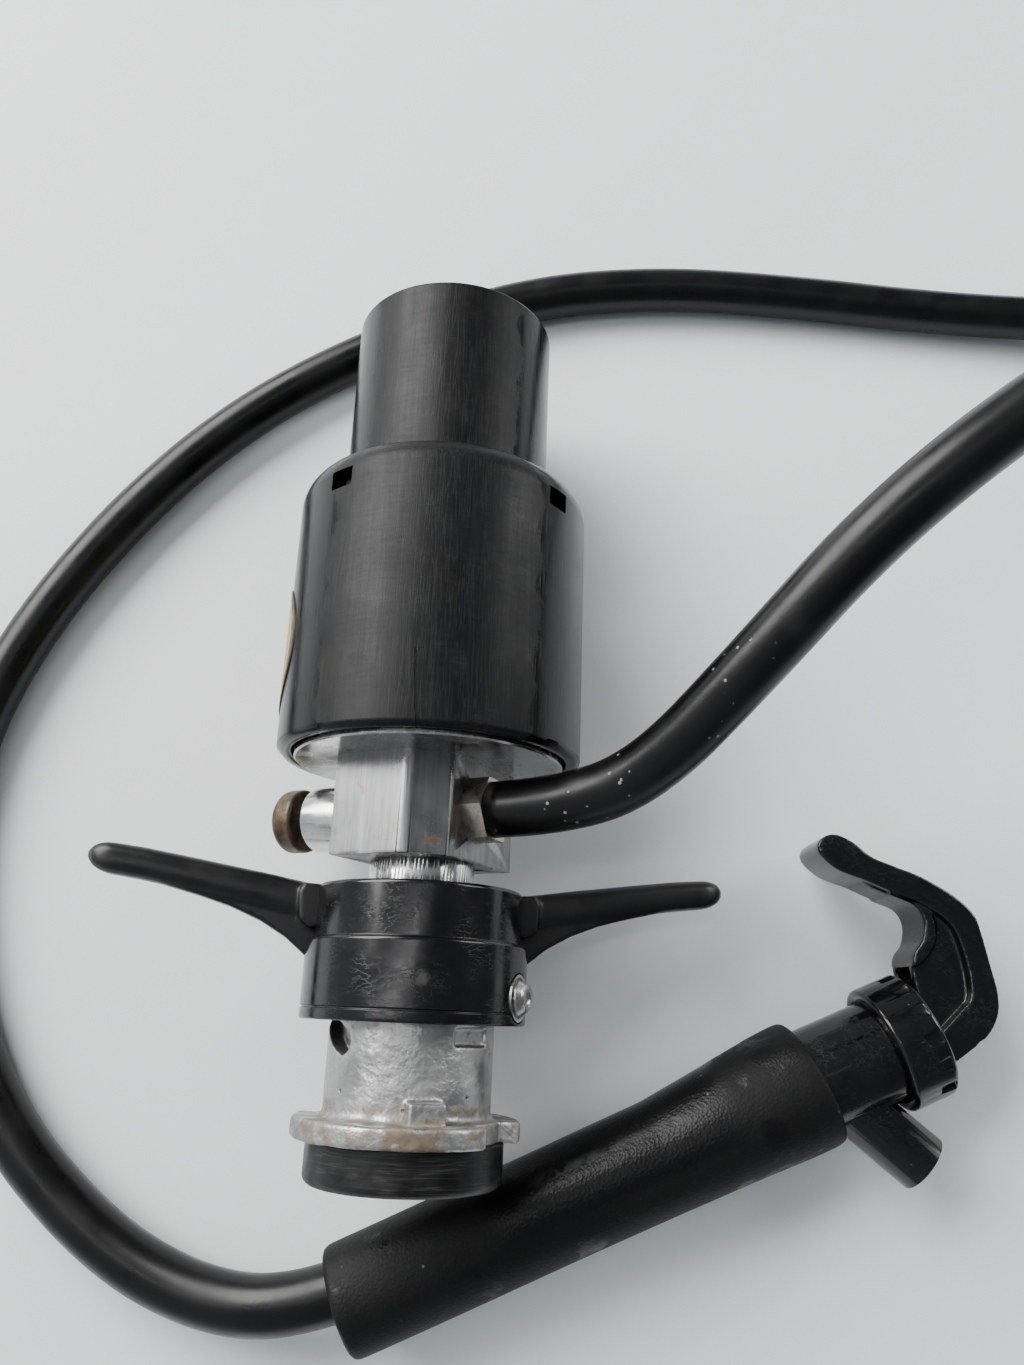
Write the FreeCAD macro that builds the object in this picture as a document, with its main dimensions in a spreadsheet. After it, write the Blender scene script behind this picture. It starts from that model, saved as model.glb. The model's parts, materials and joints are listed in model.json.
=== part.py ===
import FreeCAD, Part
import Sketcher
import math
import os

# Hand-operated keg pump with twist-lock coupler, delivery hose and squeeze faucet.
# Axes: +Y along the pump towards the plunger knob, +Z up from the surface it lies on.
# Origin: middle of the pump's length, under its axis, on that surface.
# Lengths in millimetres, angles in degrees.

SIZES = {
    # pieces along the pump axis, from the seal to the knob
    "seal_length": 9.4, "flange_thick": 4.5, "body_exposed": 20.2, "lower_ring_length": 17.7,
    "upper_ring_length": 12.4, "neck_exposed": 6.5, "block_length": 24.0, "disc_proud": 1.0,
    "housing_length": 73.0, "knob_exposed": 51.0,
    # diameters
    "housing_dia": 75.5, "knob_dia": 54.0, "disc_dia": 66.8, "lower_ring_dia": 52.3,
    "upper_ring_dia": 49.3, "body_dia": 38.0, "flange_dia": 51.5, "seal_dia": 44.4,
    "neck_dia": 25.5, "barrel_dia": 23.4, "nose_dia": 16.0, "throat_dia": 20.0,
    "beer_bore": 8.0, "cylinder_bore": 42.0, "rod_dia": 10.0,
    # clearances
    "loose_gap": 0.3, "fixed_gap": 0.1, "knob_gap": 0.4, "ring_gap": 0.4,
    # housing and pump
    "housing_wall": 4.05, "top_wall": 4.5, "dome_radius": 8.0, "window_width": 6.8,
    "window_length": 5.0, "window_azimuth": 52.0, "guide_length": 6.0, "disc_thick": 3.0,
    "gasket_thick": 1.0, "cylinder_wall": 2.0, "floor_thick": 3.0, "cylinder_length": 62.3,
    "cap_thick": 3.0, "knob_wall": 2.8, "knob_top": 4.0, "knob_lip": 2.5, "stroke": 40.0,
    "piston_thick": 6.0, "spring_wire": 1.8, "spring_coils": 5.5, "spring_dia": 26.0,
    # valve block and its fittings
    "block_across": 28.0, "block_tall": 38.0, "block_chamfer": 7.8, "port_elevation": 28.0,
    "port_height": 12.3, "spigot_dia": 23.0, "spigot_length": 6.0, "duct_dia": 2.4,
    "duct_radius": 9.8, "nut_flats": 14.3, "nut_length": 5.8, "relief_dia": 16.5,
    "relief_barrel": 19.0, "relief_gap": 2.2, "relief_cap": 7.6,
    # coupler
    "cam_travel": 10.4, "cam_turn": 63.0, "pin_dia": 4.8, "pin_height": 6.1, "pin_azimuth": 69.0,
    "screw_head": 9.0, "washer_dia": 10.4, "body_length": 32.6, "lug_gap_start": 11.0,
    "lug_gap_end": 46.0, "lug_depth": 4.6,
    # wings
    "wing_reach": 75.0, "wing_width": 8.0, "wing_sweep": 7.0, "wing_thick": 6.5,
    "web_thick": 4.0, "web_reach": 31.0, "wing_azimuth": 101.0,
    # hose, grip and faucet
    "hose_dia": 13.5, "hose_bore": 8.4, "grip_length": 123.0, "grip_dia": 25.4,
    "grip_mouth_dia": 31.0, "faucet_x": 97.0, "faucet_y": -87.0, "faucet_z": 15.6,
    "faucet_turn": 66.0, "faucet_dia": 25.0, "faucet_length": 21.2, "cap_dia": 31.0,
    "cap_length": 12.0, "spout_dia": 14.5, "spout_bore": 10.8, "spout_length": 30.3,
    "spout_lean": 28.0, "lever_width": 18.0, "lever_slot": 9.6, "lever_pivot_x": 9.0,
    "lever_pivot_y": 38.5, "stem_dia": 5.0,
}

doc = FreeCAD.newDocument("KegPump")
sheet = doc.addObject("Spreadsheet::Sheet", "dims")


class Size:
    """A length together with the spreadsheet expression that gives it."""

    def __init__(self, value, text):
        self.value = float(value)
        self.text = text

    def _join(self, other, sign, value):
        return Size(value, "(" + self.text + sign + as_size(other).text + ")")

    def __add__(self, other):
        return self._join(other, " + ", self.value + as_size(other).value)

    def __sub__(self, other):
        return self._join(other, " - ", self.value - as_size(other).value)

    def __mul__(self, other):
        return self._join(other, " * ", self.value * as_size(other).value)

    def __truediv__(self, other):
        return self._join(other, " / ", self.value / as_size(other).value)

    def __radd__(self, other):
        return as_size(other) + self

    def __rsub__(self, other):
        return as_size(other) - self

    def __rmul__(self, other):
        return as_size(other) * self

    def __neg__(self):
        return as_size(0) - self


def as_size(number):
    return number if isinstance(number, Size) else Size(number, repr(float(number)))


class Dims:
    pass


D = Dims()
for row, (name, value) in enumerate(SIZES.items(), 1):
    sheet.set("A%d" % row, name)
    sheet.set("B%d" % row, str(value))
    sheet.setAlias("B%d" % row, name)
    setattr(D, name, Size(value, "dims." + name))
doc.recompute()

STACK = ["seal_length", "flange_thick", "body_exposed", "lower_ring_length", "upper_ring_length",
         "neck_exposed", "block_length", "disc_proud", "housing_length", "knob_exposed"]


def cosine(angle):
    return Size(math.cos(math.radians(angle.value)), "cos(" + angle.text + ")")


def sine(angle):
    return Size(math.sin(math.radians(angle.value)), "sin(" + angle.text + ")")


def length_before(name):
    total = as_size(0)
    for step in STACK[:STACK.index(name)]:
        total = total + getattr(D, step)
    return total


HALF = (length_before("knob_exposed") + D.knob_exposed) / 2
AXIS_Z = D.housing_dia / 2


def start_of(name):
    return length_before(name) - HALF


X_AXIS = FreeCAD.Vector(1, 0, 0)
Y_AXIS = FreeCAD.Vector(0, 1, 0)
Z_AXIS = FreeCAD.Vector(0, 0, 1)
NO_TURN = FreeCAD.Rotation()
ALONG_Y = FreeCAD.Rotation(X_AXIS, -90)
PORT = FreeCAD.Rotation(Y_AXIS, -D.port_elevation.value)
ALONG_PORT = PORT.multiply(FreeCAD.Rotation(Z_AXIS, -90))
ALONG_RELIEF = PORT.multiply(FreeCAD.Rotation(Z_AXIS, 90))
FAUCET = FreeCAD.Rotation(Z_AXIS, -D.faucet_turn.value)
PORT_Y = start_of("block_length") + D.port_height


def bind(obj, prop, size):
    size = as_size(size)
    if "." not in prop:
        setattr(obj, prop, size.value)
    obj.setExpression(prop, size.text)


def put(obj, place, turn=NO_TURN):
    spot = [as_size(p) for p in place]
    obj.Placement = FreeCAD.Placement(FreeCAD.Vector(*[p.value for p in spot]), turn)
    for letter, p in zip("xyz", spot):
        obj.setExpression("Placement.Base." + letter, p.text)
    return obj


def vector(place):
    return FreeCAD.Vector(*[as_size(p).value for p in place])


def on_axis(y, x=0, z=0):
    return (x, y, AXIS_Z + z)


def port_point(reach, rise=0, y=PORT_Y):
    """Point beside the pump axis: reach along the hose port, rise square to it."""
    reach = as_size(reach)
    rise = as_size(rise)
    cos_e = cosine(D.port_elevation)
    sin_e = sine(D.port_elevation)
    return (reach * cos_e - rise * sin_e, y, AXIS_Z + reach * sin_e + rise * cos_e)


def faucet_point(side, along, up=0):
    """Point in the faucet's own frame: side towards the spout, along its axis."""
    side = as_size(side)
    along = as_size(along)
    cos_t = cosine(D.faucet_turn)
    sin_t = sine(D.faucet_turn)
    return (D.faucet_x + side * cos_t + along * sin_t,
            D.faucet_y - side * sin_t + along * cos_t, D.faucet_z + up)


def ring_point(radius, azimuth, y):
    """Point at an angle round the pump axis, counted from +Z towards +X."""
    radius = as_size(radius)
    azimuth = as_size(azimuth)
    return (radius * sine(azimuth), y, AXIS_Z + radius * cosine(azimuth))


def sketch_polygon(body, name, points):
    """Closed outline on the body's XY plane, each corner held by two driving lengths."""
    sketch = body.newObject("Sketcher::SketchObject", name)
    plane = [f for f in body.Origin.OriginFeatures if f.Role == "XY_Plane"][0]
    sketch.AttachmentSupport = [(plane, "")]
    sketch.MapMode = "FlatFace"
    corners = [(as_size(x), as_size(y)) for x, y in points]
    count = len(corners)
    spots = [FreeCAD.Vector(x.value, y.value, 0) for x, y in corners]
    for i in range(count):
        sketch.addGeometry(Part.LineSegment(spots[i], spots[(i + 1) % count]), False)
    for i in range(count):
        sketch.addConstraint(Sketcher.Constraint("Coincident", i, 2, (i + 1) % count, 1))
    for i, (x, y) in enumerate(corners):
        for kind, size, axis in (("DistanceX", x, -2), ("DistanceY", y, -1)):
            if size.value == 0:
                sketch.addConstraint(Sketcher.Constraint("PointOnObject", i, 1, axis))
                continue
            index = sketch.addConstraint(Sketcher.Constraint(kind, -1, 1, i, 1, size.value))
            sketch.setExpression("Constraints[%d]" % index, size.text)
    return sketch


def turned(label, points, rounds=(), bevels=()):
    """Body turned about its own Y axis from (radius, height) corners.

    rounds and bevels list circular edges as (radius, height, size)."""
    body = doc.addObject("PartDesign::Body", label)
    sketch = sketch_polygon(body, label + "_profile", points)
    last = body.newObject("PartDesign::Revolution", label + "_turn")
    last.Profile = sketch
    last.ReferenceAxis = (sketch, ["V_Axis"])
    last.Angle = 360
    for kind, edges, prop in (("Fillet", rounds, "Radius"), ("Chamfer", bevels, "Size")):
        for number, (radius, height, size) in enumerate(edges):
            doc.recompute()
            wanted = (as_size(radius).value, as_size(height).value)
            names = circle_names(last.Shape, wanted)
            step = body.newObject("PartDesign::" + kind, "%s_%s%d" % (label, kind, number))
            step.Base = (last, names)
            bind(step, prop, size)
            last = step
    body.Tip = last
    body.Label = label
    return body


def circle_names(shape, wanted):
    names = []
    for number, edge in enumerate(shape.Edges, 1):
        curve = edge.Curve
        if not isinstance(curve, Part.Circle):
            continue
        if abs(curve.Radius - wanted[0]) < 1e-4 and abs(curve.Center.y - wanted[1]) < 1e-4:
            names.append("Edge%d" % number)
    return names


def slab(label, points, thick, rounds=()):
    """Body made from an outline on XY, as thick both ways along its own Z."""
    body = doc.addObject("PartDesign::Body", label)
    sketch = sketch_polygon(body, label + "_outline", points)
    pad = body.newObject("PartDesign::Pad", label + "_pad")
    pad.Profile = sketch
    pad.SideType = "Symmetric"
    bind(pad, "Length", thick)
    last = pad
    for number, (corner, size) in enumerate(rounds):
        doc.recompute()
        names = upright_names(last.Shape, as_size(corner[0]).value, as_size(corner[1]).value)
        step = body.newObject("PartDesign::Fillet", "%s_round%d" % (label, number))
        step.Base = (last, names)
        bind(step, "Radius", size)
        last = step
    body.Tip = last
    body.Label = label
    return body


def upright_names(shape, x, y):
    names = []
    for number, edge in enumerate(shape.Edges, 1):
        ends = [v.Point for v in edge.Vertexes]
        if len(ends) == 2 and all(abs(p.x - x) < 1e-4 and abs(p.y - y) < 1e-4 for p in ends):
            names.append("Edge%d" % number)
    return names


def rod(name, place, radius, length, turn):
    """Cylinder from place along the turned Z axis."""
    piece = doc.addObject("Part::Cylinder", name)
    bind(piece, "Radius", radius)
    bind(piece, "Height", length)
    return put(piece, place, turn)


def brick(name, size, place, turn=NO_TURN):
    piece = doc.addObject("Part::Box", name)
    for prop, value in zip(("Length", "Width", "Height"), size):
        bind(piece, prop, value)
    return put(piece, place, turn)


def joined(label, pieces, refine=True):
    if len(pieces) == 1:
        return pieces[0]
    whole = doc.addObject("Part::MultiFuse", label)
    whole.Shapes = pieces
    whole.Refine = refine
    whole.Label = label
    return whole


def cut(label, base, tools):
    result = doc.addObject("Part::Cut", label)
    result.Base = base
    result.Tool = joined(label + "_tools", tools, refine=False)
    result.Refine = True
    result.Label = label
    return result


def group(label, pieces):
    whole = doc.addObject("Part::Compound", label)
    whole.Links = pieces
    whole.Label = label
    return whole


def coil(label, mean_radius, wire, turns, height, place, turn):
    """Round-wire compression spring standing on its own Z axis."""
    helix = doc.addObject("Part::Helix", label + "_line")
    bind(helix, "Radius", mean_radius)
    bind(helix, "Pitch", height / turns)
    bind(helix, "Height", height)
    helix.SegmentLength = 0.5
    section = doc.addObject("Part::Circle", label + "_wire")
    bind(section, "Radius", wire / 2)
    put(section, (mean_radius, 0, 0), FreeCAD.Rotation(X_AXIS, 90))
    spring = doc.addObject("Part::Sweep", label)
    spring.Sections = [section]
    spring.Spine = (helix, [])
    spring.Solid = True
    spring.Frenet = True
    doc.recompute()
    spring.Label = label
    return put(spring, place, turn)


def hexagon(label, flats, length, place, turn):
    prism = doc.addObject("Part::Prism", label)
    prism.Polygon = 6
    bind(prism, "Circumradius", flats / cosine(as_size(30)) / 2)
    bind(prism, "Height", length)
    return put(prism, place, turn)


NODES = []


def keep(piece):
    NODES.append(piece)
    return piece


# ---------------------------------------------------------------- housing and pump
housing_y = start_of("housing_length")
disc_y = start_of("disc_proud")
housing_r = D.housing_dia / 2
inner_r = housing_r - D.housing_wall
knob_r = D.knob_dia / 2
mouth_r = knob_r + D.knob_gap
cylinder_r = D.cylinder_bore / 2
tube_r = cylinder_r + D.cylinder_wall
ledge = D.disc_thick - D.disc_proud + D.gasket_thick + D.floor_thick


def round_housing():
    step = inner_r - 0.7
    body = turned("housing_barrel", [
        (inner_r + D.fixed_gap, 0), (housing_r, 0), (housing_r, D.housing_length),
        (mouth_r, D.housing_length), (mouth_r, D.housing_length - D.top_wall),
        (step, D.housing_length - D.top_wall), (step, ledge), (inner_r + D.fixed_gap, ledge)],
        rounds=[(housing_r, D.housing_length, D.dome_radius)],
        bevels=[(housing_r, 0, 1.4), (inner_r + D.fixed_gap, 0, 0.8)])
    put(body, on_axis(housing_y))
    windows = []
    for quarter in range(4):
        azimuth = D.window_azimuth + 90 * quarter
        turn = FreeCAD.Rotation(Y_AXIS, azimuth.value)
        low = housing_y + D.housing_length - D.window_length - 7.5
        depth = 12
        for tag, width, base_y, length, from_r in (
                ("window", D.window_width, low, D.window_length, inner_r - 3),
                ("notch", D.window_width - 1.6, housing_y + D.housing_length - 2.2, 3, mouth_r - 1)):
            spot = ring_point(from_r, azimuth, base_y)
            half = width / 2
            spot = (spot[0] - half * cosine(azimuth), spot[1], spot[2] + half * sine(azimuth))
            windows.append(brick("%s%d" % (tag, quarter), (width, length, depth), spot, turn))
    return cut("pump_housing", body, windows)


def guide_ring():
    outer = inner_r - 0.7 - D.loose_gap
    body = turned("guide_band", [(mouth_r, 0), (outer, 0), (outer, D.guide_length),
                                 (mouth_r, D.guide_length)])
    base_y = housing_y + D.housing_length - D.top_wall - D.guide_length - 0.1
    put(body, on_axis(base_y))
    tabs = []
    width = D.window_width - 1.2
    length = D.window_length - 1.4
    for quarter in range(4):
        azimuth = D.window_azimuth + 90 * quarter
        spot = ring_point(outer - 1.5, azimuth, housing_y + D.housing_length - D.window_length - 6.8)
        half = width / 2
        spot = (spot[0] - half * cosine(azimuth), spot[1], spot[2] + half * sine(azimuth))
        tabs.append(brick("tab%d" % quarter, (width, length, 2.6), spot,
                          FreeCAD.Rotation(Y_AXIS, azimuth.value)))
    return joined("guide_ring", [body] + tabs)


def bottom_plate():
    plate = turned("plate_disc", [(2.5, 0), (D.disc_dia / 2, 0), (D.disc_dia / 2, D.disc_thick),
                                  (2.5, D.disc_thick)], bevels=[(D.disc_dia / 2, 0, 0.4)])
    put(plate, on_axis(disc_y))
    holes = []
    heads = []
    for number, side in enumerate((-1, 1)):
        place = port_point(0, 12.5 * side, disc_y)
        holes.append(rod("plate_hole%d" % number, place, 2.1, D.disc_thick, ALONG_Y))
    for number, side in enumerate((-1, 1)):
        place = port_point(0, 12.5 * side, disc_y - 8)
        shank = rod("plate_shank%d" % number, place, 1.9, D.disc_thick + 8, ALONG_Y)
        place = port_point(0, 12.5 * side, disc_y + D.disc_thick)
        head = rod("plate_head%d" % number, place, 3.6, 2.6, ALONG_Y)
        socket = hexagon("plate_socket%d" % number, as_size(3), 1.6,
                         port_point(0, 12.5 * side, disc_y + D.disc_thick + 1.2), ALONG_Y)
        heads.append(cut("plate_screw%d" % number,
                         joined("plate_screw_blank%d" % number, [shank, head]), [socket]))
    keep(cut("base_plate", plate, holes))
    keep(group("plate_screws", heads))


gasket_y = disc_y + D.disc_thick
floor_y = gasket_y + D.gasket_thick


def pump_inside():
    outer = D.disc_dia / 2
    keep(put(turned("base_gasket", [(20, 0), (outer, 0), (outer, D.gasket_thick),
                                    (20, D.gasket_thick)]), on_axis(gasket_y)))
    tube_top = D.floor_thick + D.cylinder_length
    pocket = turned("cylinder_blank", [
        (3, 0), (outer, 0), (outer, D.floor_thick), (tube_r, D.floor_thick), (tube_r, tube_top),
        (cylinder_r, tube_top), (cylinder_r, D.floor_thick), (3, D.floor_thick)])
    put(pocket, on_axis(floor_y))
    relief = [rod("head_room%d" % n, port_point(0, 12.5 * side, floor_y), 4.2, 1.8, ALONG_Y)
              for n, side in enumerate((-1, 1))]
    keep(cut("pump_cylinder", pocket, relief))
    cap_y = floor_y + tube_top
    spigot = cylinder_r - D.fixed_gap
    lid = turned("cap_blank", [
        (D.rod_dia / 2 + D.loose_gap, 0), (spigot, 0), (spigot, 3), (tube_r, 3),
        (tube_r, D.cap_thick + 3), (D.rod_dia / 2 + D.loose_gap, D.cap_thick + 3)])
    put(lid, on_axis(cap_y - 3))
    vents = [rod("vent%d" % n, (15 * side, cap_y - 4, AXIS_Z), 1.5, D.cap_thick + 6, ALONG_Y)
             for n, side in enumerate((-1, 1))]
    keep(cut("cylinder_cap", lid, vents))
    return cap_y + D.cap_thick


def plunger(spring_floor):
    top_y = -start_of("seal_length")
    skirt_y = housing_y + D.housing_length - D.top_wall - D.guide_length - 0.4 - 4
    length = top_y - skirt_y
    inside = length - D.knob_top
    bore = knob_r - D.knob_wall
    boss_r = D.rod_dia / 2 + 3
    boss_low = inside - 8
    rod_seat = inside - 1
    lip_r = knob_r + D.knob_lip
    rod_r = D.rod_dia / 2
    keep(put(turned("plunger_knob", [
        (bore, 0), (lip_r, 0), (lip_r, 4), (knob_r, 4), (knob_r, length), (0, length),
        (0, rod_seat), (rod_r + D.fixed_gap, rod_seat), (rod_r + D.fixed_gap, boss_low),
        (boss_r, boss_low), (boss_r, inside), (bore, inside)],
        rounds=[(knob_r, length, 1.0)], bevels=[(lip_r, 0, 0.6)]), on_axis(skirt_y)))
    piston_y = floor_y + D.floor_thick + D.stroke + 3.5
    head_r = cylinder_r - 0.5
    groove_r = head_r - 4
    keep(put(turned("piston_head", [
        (1.7, 0), (head_r, 0), (head_r, 1.4), (groove_r, 1.4), (groove_r, 4.6), (head_r, 4.6),
        (head_r, D.piston_thick), (1.7, D.piston_thick)]), on_axis(piston_y)))
    lip = cylinder_r - D.loose_gap
    keep(put(turned("piston_seal", [
        (groove_r + 0.2, 0), (groove_r + 1.2, 0), (groove_r + 2.1, 1.6), (lip - 0.6, 0), (lip, 0),
        (lip - 0.2, 2.8), (groove_r + 0.2, 2.8)]), on_axis(piston_y + 1.6)))
    rod_y = piston_y + D.piston_thick
    rod_length = skirt_y + rod_seat - rod_y
    keep(put(turned("piston_rod", [
        (1.7, 0), (rod_r, 0), (rod_r, rod_length), (0, rod_length), (0, 9), (1.7, 9)]),
        on_axis(rod_y)))
    screw = turned("screw_blank", [(0, 0), (3.8, 0), (3.8, 2), (1.5, 2), (1.5, 14.2), (0, 14.2)])
    put(screw, on_axis(piston_y - 2))
    slot = brick("screw_slot", (8, 1, 1.2), on_axis(piston_y - 2.2, -4, -0.6))
    keep(cut("piston_screw", screw, [slot]))
    spring_r = D.spring_dia / 2
    rise = skirt_y + inside - spring_floor - D.spring_wire - 0.4
    keep(coil("return_spring", spring_r - D.spring_wire, D.spring_wire, D.spring_coils, rise,
              on_axis(spring_floor + D.spring_wire / 2 + 0.2), ALONG_Y))


# ---------------------------------------------------------------- valve block
block_y = start_of("block_length")
half_across = D.block_across / 2
half_tall = D.block_tall / 2


def valve_block():
    c = D.block_chamfer
    body = doc.addObject("PartDesign::Body", "block_bar")
    sketch = sketch_polygon(body, "block_section", [
        (half_across, -half_tall), (half_across, half_tall - c), (half_across - c, half_tall),
        (-half_across, half_tall), (-half_across, c - half_tall), (c - half_across, -half_tall)])
    pad = body.newObject("PartDesign::Pad", "block_pad")
    pad.Profile = sketch
    bind(pad, "Length", D.block_length)
    last = pad
    for number, (x, y, size) in enumerate((
            (half_across - c, half_tall, 4.0), (half_across, half_tall - c, 2.0),
            (c - half_across, -half_tall, 4.0), (-half_across, c - half_tall, 2.0))):
        doc.recompute()
        round_edge = body.newObject("PartDesign::Fillet", "block_round%d" % number)
        round_edge.Base = (last, upright_names(last.Shape, x.value, y.value))
        bind(round_edge, "Radius", size)
        last = round_edge
    body.Tip = last
    # the section's X goes to the hose port, its Y to the square direction, its Z back along -Y
    turn = PORT.multiply(FreeCAD.Rotation(X_AXIS, 90))
    put(body, on_axis(block_y + D.block_length), turn)
    spigot_r = D.spigot_dia / 2 + D.fixed_gap
    duct_r = D.duct_dia / 2
    to_port = FreeCAD.Rotation(Z_AXIS, PORT.multVec(X_AXIS))
    to_relief = FreeCAD.Rotation(Z_AXIS, PORT.multVec(-X_AXIS))
    down = FreeCAD.Rotation(Z_AXIS, PORT.multVec(-Z_AXIS))
    duct_y = block_y + D.block_length - 6.7
    tools = [
        rod("spigot_bore", on_axis(block_y), spigot_r, D.spigot_length + 0.3, ALONG_Y),
        rod("beer_riser", on_axis(block_y), D.beer_bore / 2, D.port_height + 3, ALONG_Y),
        rod("beer_port", port_point(0), 3.4, half_across, to_port),
        rod("port_thread", port_point(half_across - 6.2), 5.0, 6.2, to_port),
        rod("relief_bore", port_point(-5.8), 3.9, half_across - 5.8, to_relief),
        rod("valve_pocket", on_axis(block_y + D.block_length - 8), 5.0, 8, ALONG_Y),
        rod("air_cross", on_axis(duct_y), duct_r, D.duct_radius + duct_r, down),
        rod("air_down", port_point(0, -D.duct_radius, block_y), duct_r,
            D.block_length - 6.7, ALONG_Y)]
    start = port_point(-7, 0)
    end = port_point(0, -D.duct_radius)
    path = vector(end) - vector(start)
    tools.append(rod("relief_duct", start, 1.0, path.Length, FreeCAD.Rotation(Z_AXIS, path)))
    for number, side in enumerate((-1, 1)):
        place = port_point(0, 12.5 * side, disc_y - 8.5)
        tools.append(rod("plate_tap%d" % number, place, 2.0, 8.5, ALONG_Y))
    keep(cut("valve_block", body, tools))


def check_valve():
    ball = doc.addObject("Part::Sphere", "check_ball")
    bind(ball, "Radius", 3.4)
    put(ball, on_axis(block_y + D.block_length - 2.4))
    ball.Label = "check_ball"
    keep(ball)
    keep(coil("check_spring", as_size(2.6), as_size(0.5), as_size(3), as_size(2.0),
              on_axis(block_y + D.block_length - 7.6), ALONG_Y))


def hose_fitting():
    bore = 4.2
    nut = hexagon("nut_blank", D.nut_flats, D.nut_length, port_point(half_across),
                  FreeCAD.Rotation(Z_AXIS, PORT.multVec(X_AXIS)))
    hole = rod("nut_hole", port_point(half_across), bore + 0.1, D.nut_length,
               FreeCAD.Rotation(Z_AXIS, PORT.multVec(X_AXIS)))
    keep(cut("hose_nut", nut, [hole]))
    keep(put(turned("hose_barb", [
        (2.6, 0), (4.8, 0), (4.8, 5.8), (bore, 5.8), (bore, 6 + D.nut_length),
        (3.6, 6 + D.nut_length), (4.2, 9 + D.nut_length), (3.6, 14 + D.nut_length),
        (4.2, 14 + D.nut_length), (3.3, 20 + D.nut_length), (2.6, 20 + D.nut_length)]),
        port_point(half_across - 6), ALONG_PORT))


def relief_valve():
    outer = D.relief_dia / 2
    length = D.relief_barrel
    keep(put(turned("relief_barrel", [
        (2.4, 0), (3.8, 0), (3.8, 3.6), (outer, 3.6), (outer, 3.6 + length),
        (5.6, 3.6 + length), (5.6, 8), (2.4, 8)],
        rounds=[(outer, 3.6 + length, 0.8)]), port_point(-(half_across - 3.6)), ALONG_RELIEF))
    shaft = 3.6 + length + D.relief_gap
    keep(put(turned("relief_button", [
        (0, 0), (2, 0), (2, 1.6 + shaft), (5.2, 1.6 + shaft), (5.2, 2.8 + shaft), (outer, 2.8 + shaft),
        (outer, 1.6 + shaft + D.relief_cap), (0, 1.6 + shaft + D.relief_cap)],
        rounds=[(outer, 1.6 + shaft + D.relief_cap, 2.2), (outer, 2.8 + shaft, 1.2)]),
        port_point(-(half_across - 5.2)), ALONG_RELIEF))
    keep(put(turned("relief_seal", [(2.05, 0), (3.4, 0), (3.4, 1.2), (2.05, 1.2)]),
             port_point(-(half_across - 5.0)), ALONG_RELIEF))
    keep(coil("relief_spring", as_size(3.9), as_size(0.9), as_size(5), length - 7.4 - D.relief_gap,
              port_point(-(half_across + 5.2)),
              FreeCAD.Rotation(Z_AXIS, PORT.multVec(-X_AXIS))))


# ---------------------------------------------------------------- probe
nose_y = start_of("seal_length") + 5
neck_y = start_of("neck_exposed")
ring_y = start_of("lower_ring_length")
barrel_r = D.barrel_dia / 2
rings = D.lower_ring_length + D.upper_ring_length
collar_wall = 5.0
groove_y = ring_y + rings - collar_wall - 1.5


def probe():
    up = block_y + D.spigot_length - nose_y
    nose_r = D.nose_dia / 2
    bore = D.beer_bore / 2
    neck_low = neck_y + D.loose_gap - nose_y
    neck_top = block_y - nose_y
    shoulder = as_size(25)
    groove = groove_y - nose_y
    oring = as_size(32)
    cage = 5.2
    blank = turned("probe_blank", [
        (3.6, 0), (nose_r, 0), (nose_r, shoulder), (barrel_r, shoulder), (barrel_r, oring),
        (barrel_r - 1.9, oring), (barrel_r - 1.9, oring + 2.4), (barrel_r, oring + 2.4),
        (barrel_r, groove), (barrel_r - 1.1, groove), (barrel_r - 1.1, groove + 1.2),
        (barrel_r, groove + 1.2), (barrel_r, neck_low), (D.neck_dia / 2, neck_low),
        (D.neck_dia / 2, neck_top), (D.spigot_dia / 2, neck_top), (D.spigot_dia / 2, up),
        (bore, up), (bore, 14), (cage, 14), (cage, 3), (3.6, 3)],
        bevels=[(nose_r, 0, 1.0)])
    put(blank, on_axis(nose_y))
    ducts = [rod("probe_duct%d" % n, port_point(0, D.duct_radius * side, nose_y + shoulder - 1),
                 D.duct_dia / 2, up - shoulder + 2, ALONG_Y) for n, side in enumerate((-1, 1))]
    pin_hole = rod("pin_hole", on_axis(nose_y + 12.5, -nose_r), 0.85, D.nose_dia,
                   FreeCAD.Rotation(Z_AXIS, X_AXIS))
    keep(cut("probe_tube", blank, ducts + [pin_hole]))
    pin = rod("probe_pin", on_axis(nose_y + 12.5, 0.3 - nose_r), 0.8, D.nose_dia - 0.6,
              FreeCAD.Rotation(Z_AXIS, X_AXIS))
    pin.Label = "probe_pin"
    keep(pin)
    ball = doc.addObject("Part::Sphere", "probe_ball")
    bind(ball, "Radius", 4.6)
    put(ball, on_axis(nose_y + 6.1))
    ball.Label = "probe_ball"
    keep(ball)
    seal = doc.addObject("Part::Torus", "probe_seal")
    bind(seal, "Radius1", barrel_r - 0.85)
    bind(seal, "Radius2", 0.9)
    put(seal, on_axis(nose_y + oring + 1.2), ALONG_Y)
    seal.Label = "probe_seal"
    keep(seal)
    ring = turned("clip_blank", [(barrel_r - 0.9, 0), (barrel_r + 2.0, 0), (barrel_r + 2.0, 1),
                                 (barrel_r - 0.9, 1)])
    put(ring, on_axis(groove_y + 0.1))
    gap = brick("clip_gap", (6, 3, 20), on_axis(groove_y - 1, -3))
    keep(cut("retaining_clip", ring, [gap]))


# ---------------------------------------------------------------- twist collar
body_r = D.body_dia / 2
cavity_r = body_r + D.ring_gap
pin_y = ring_y + D.pin_height
lower_r = D.lower_ring_dia / 2
upper_r = D.upper_ring_dia / 2
spot_r = lower_r - 1.0
FLANGE_BACK = start_of("body_exposed")


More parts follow.
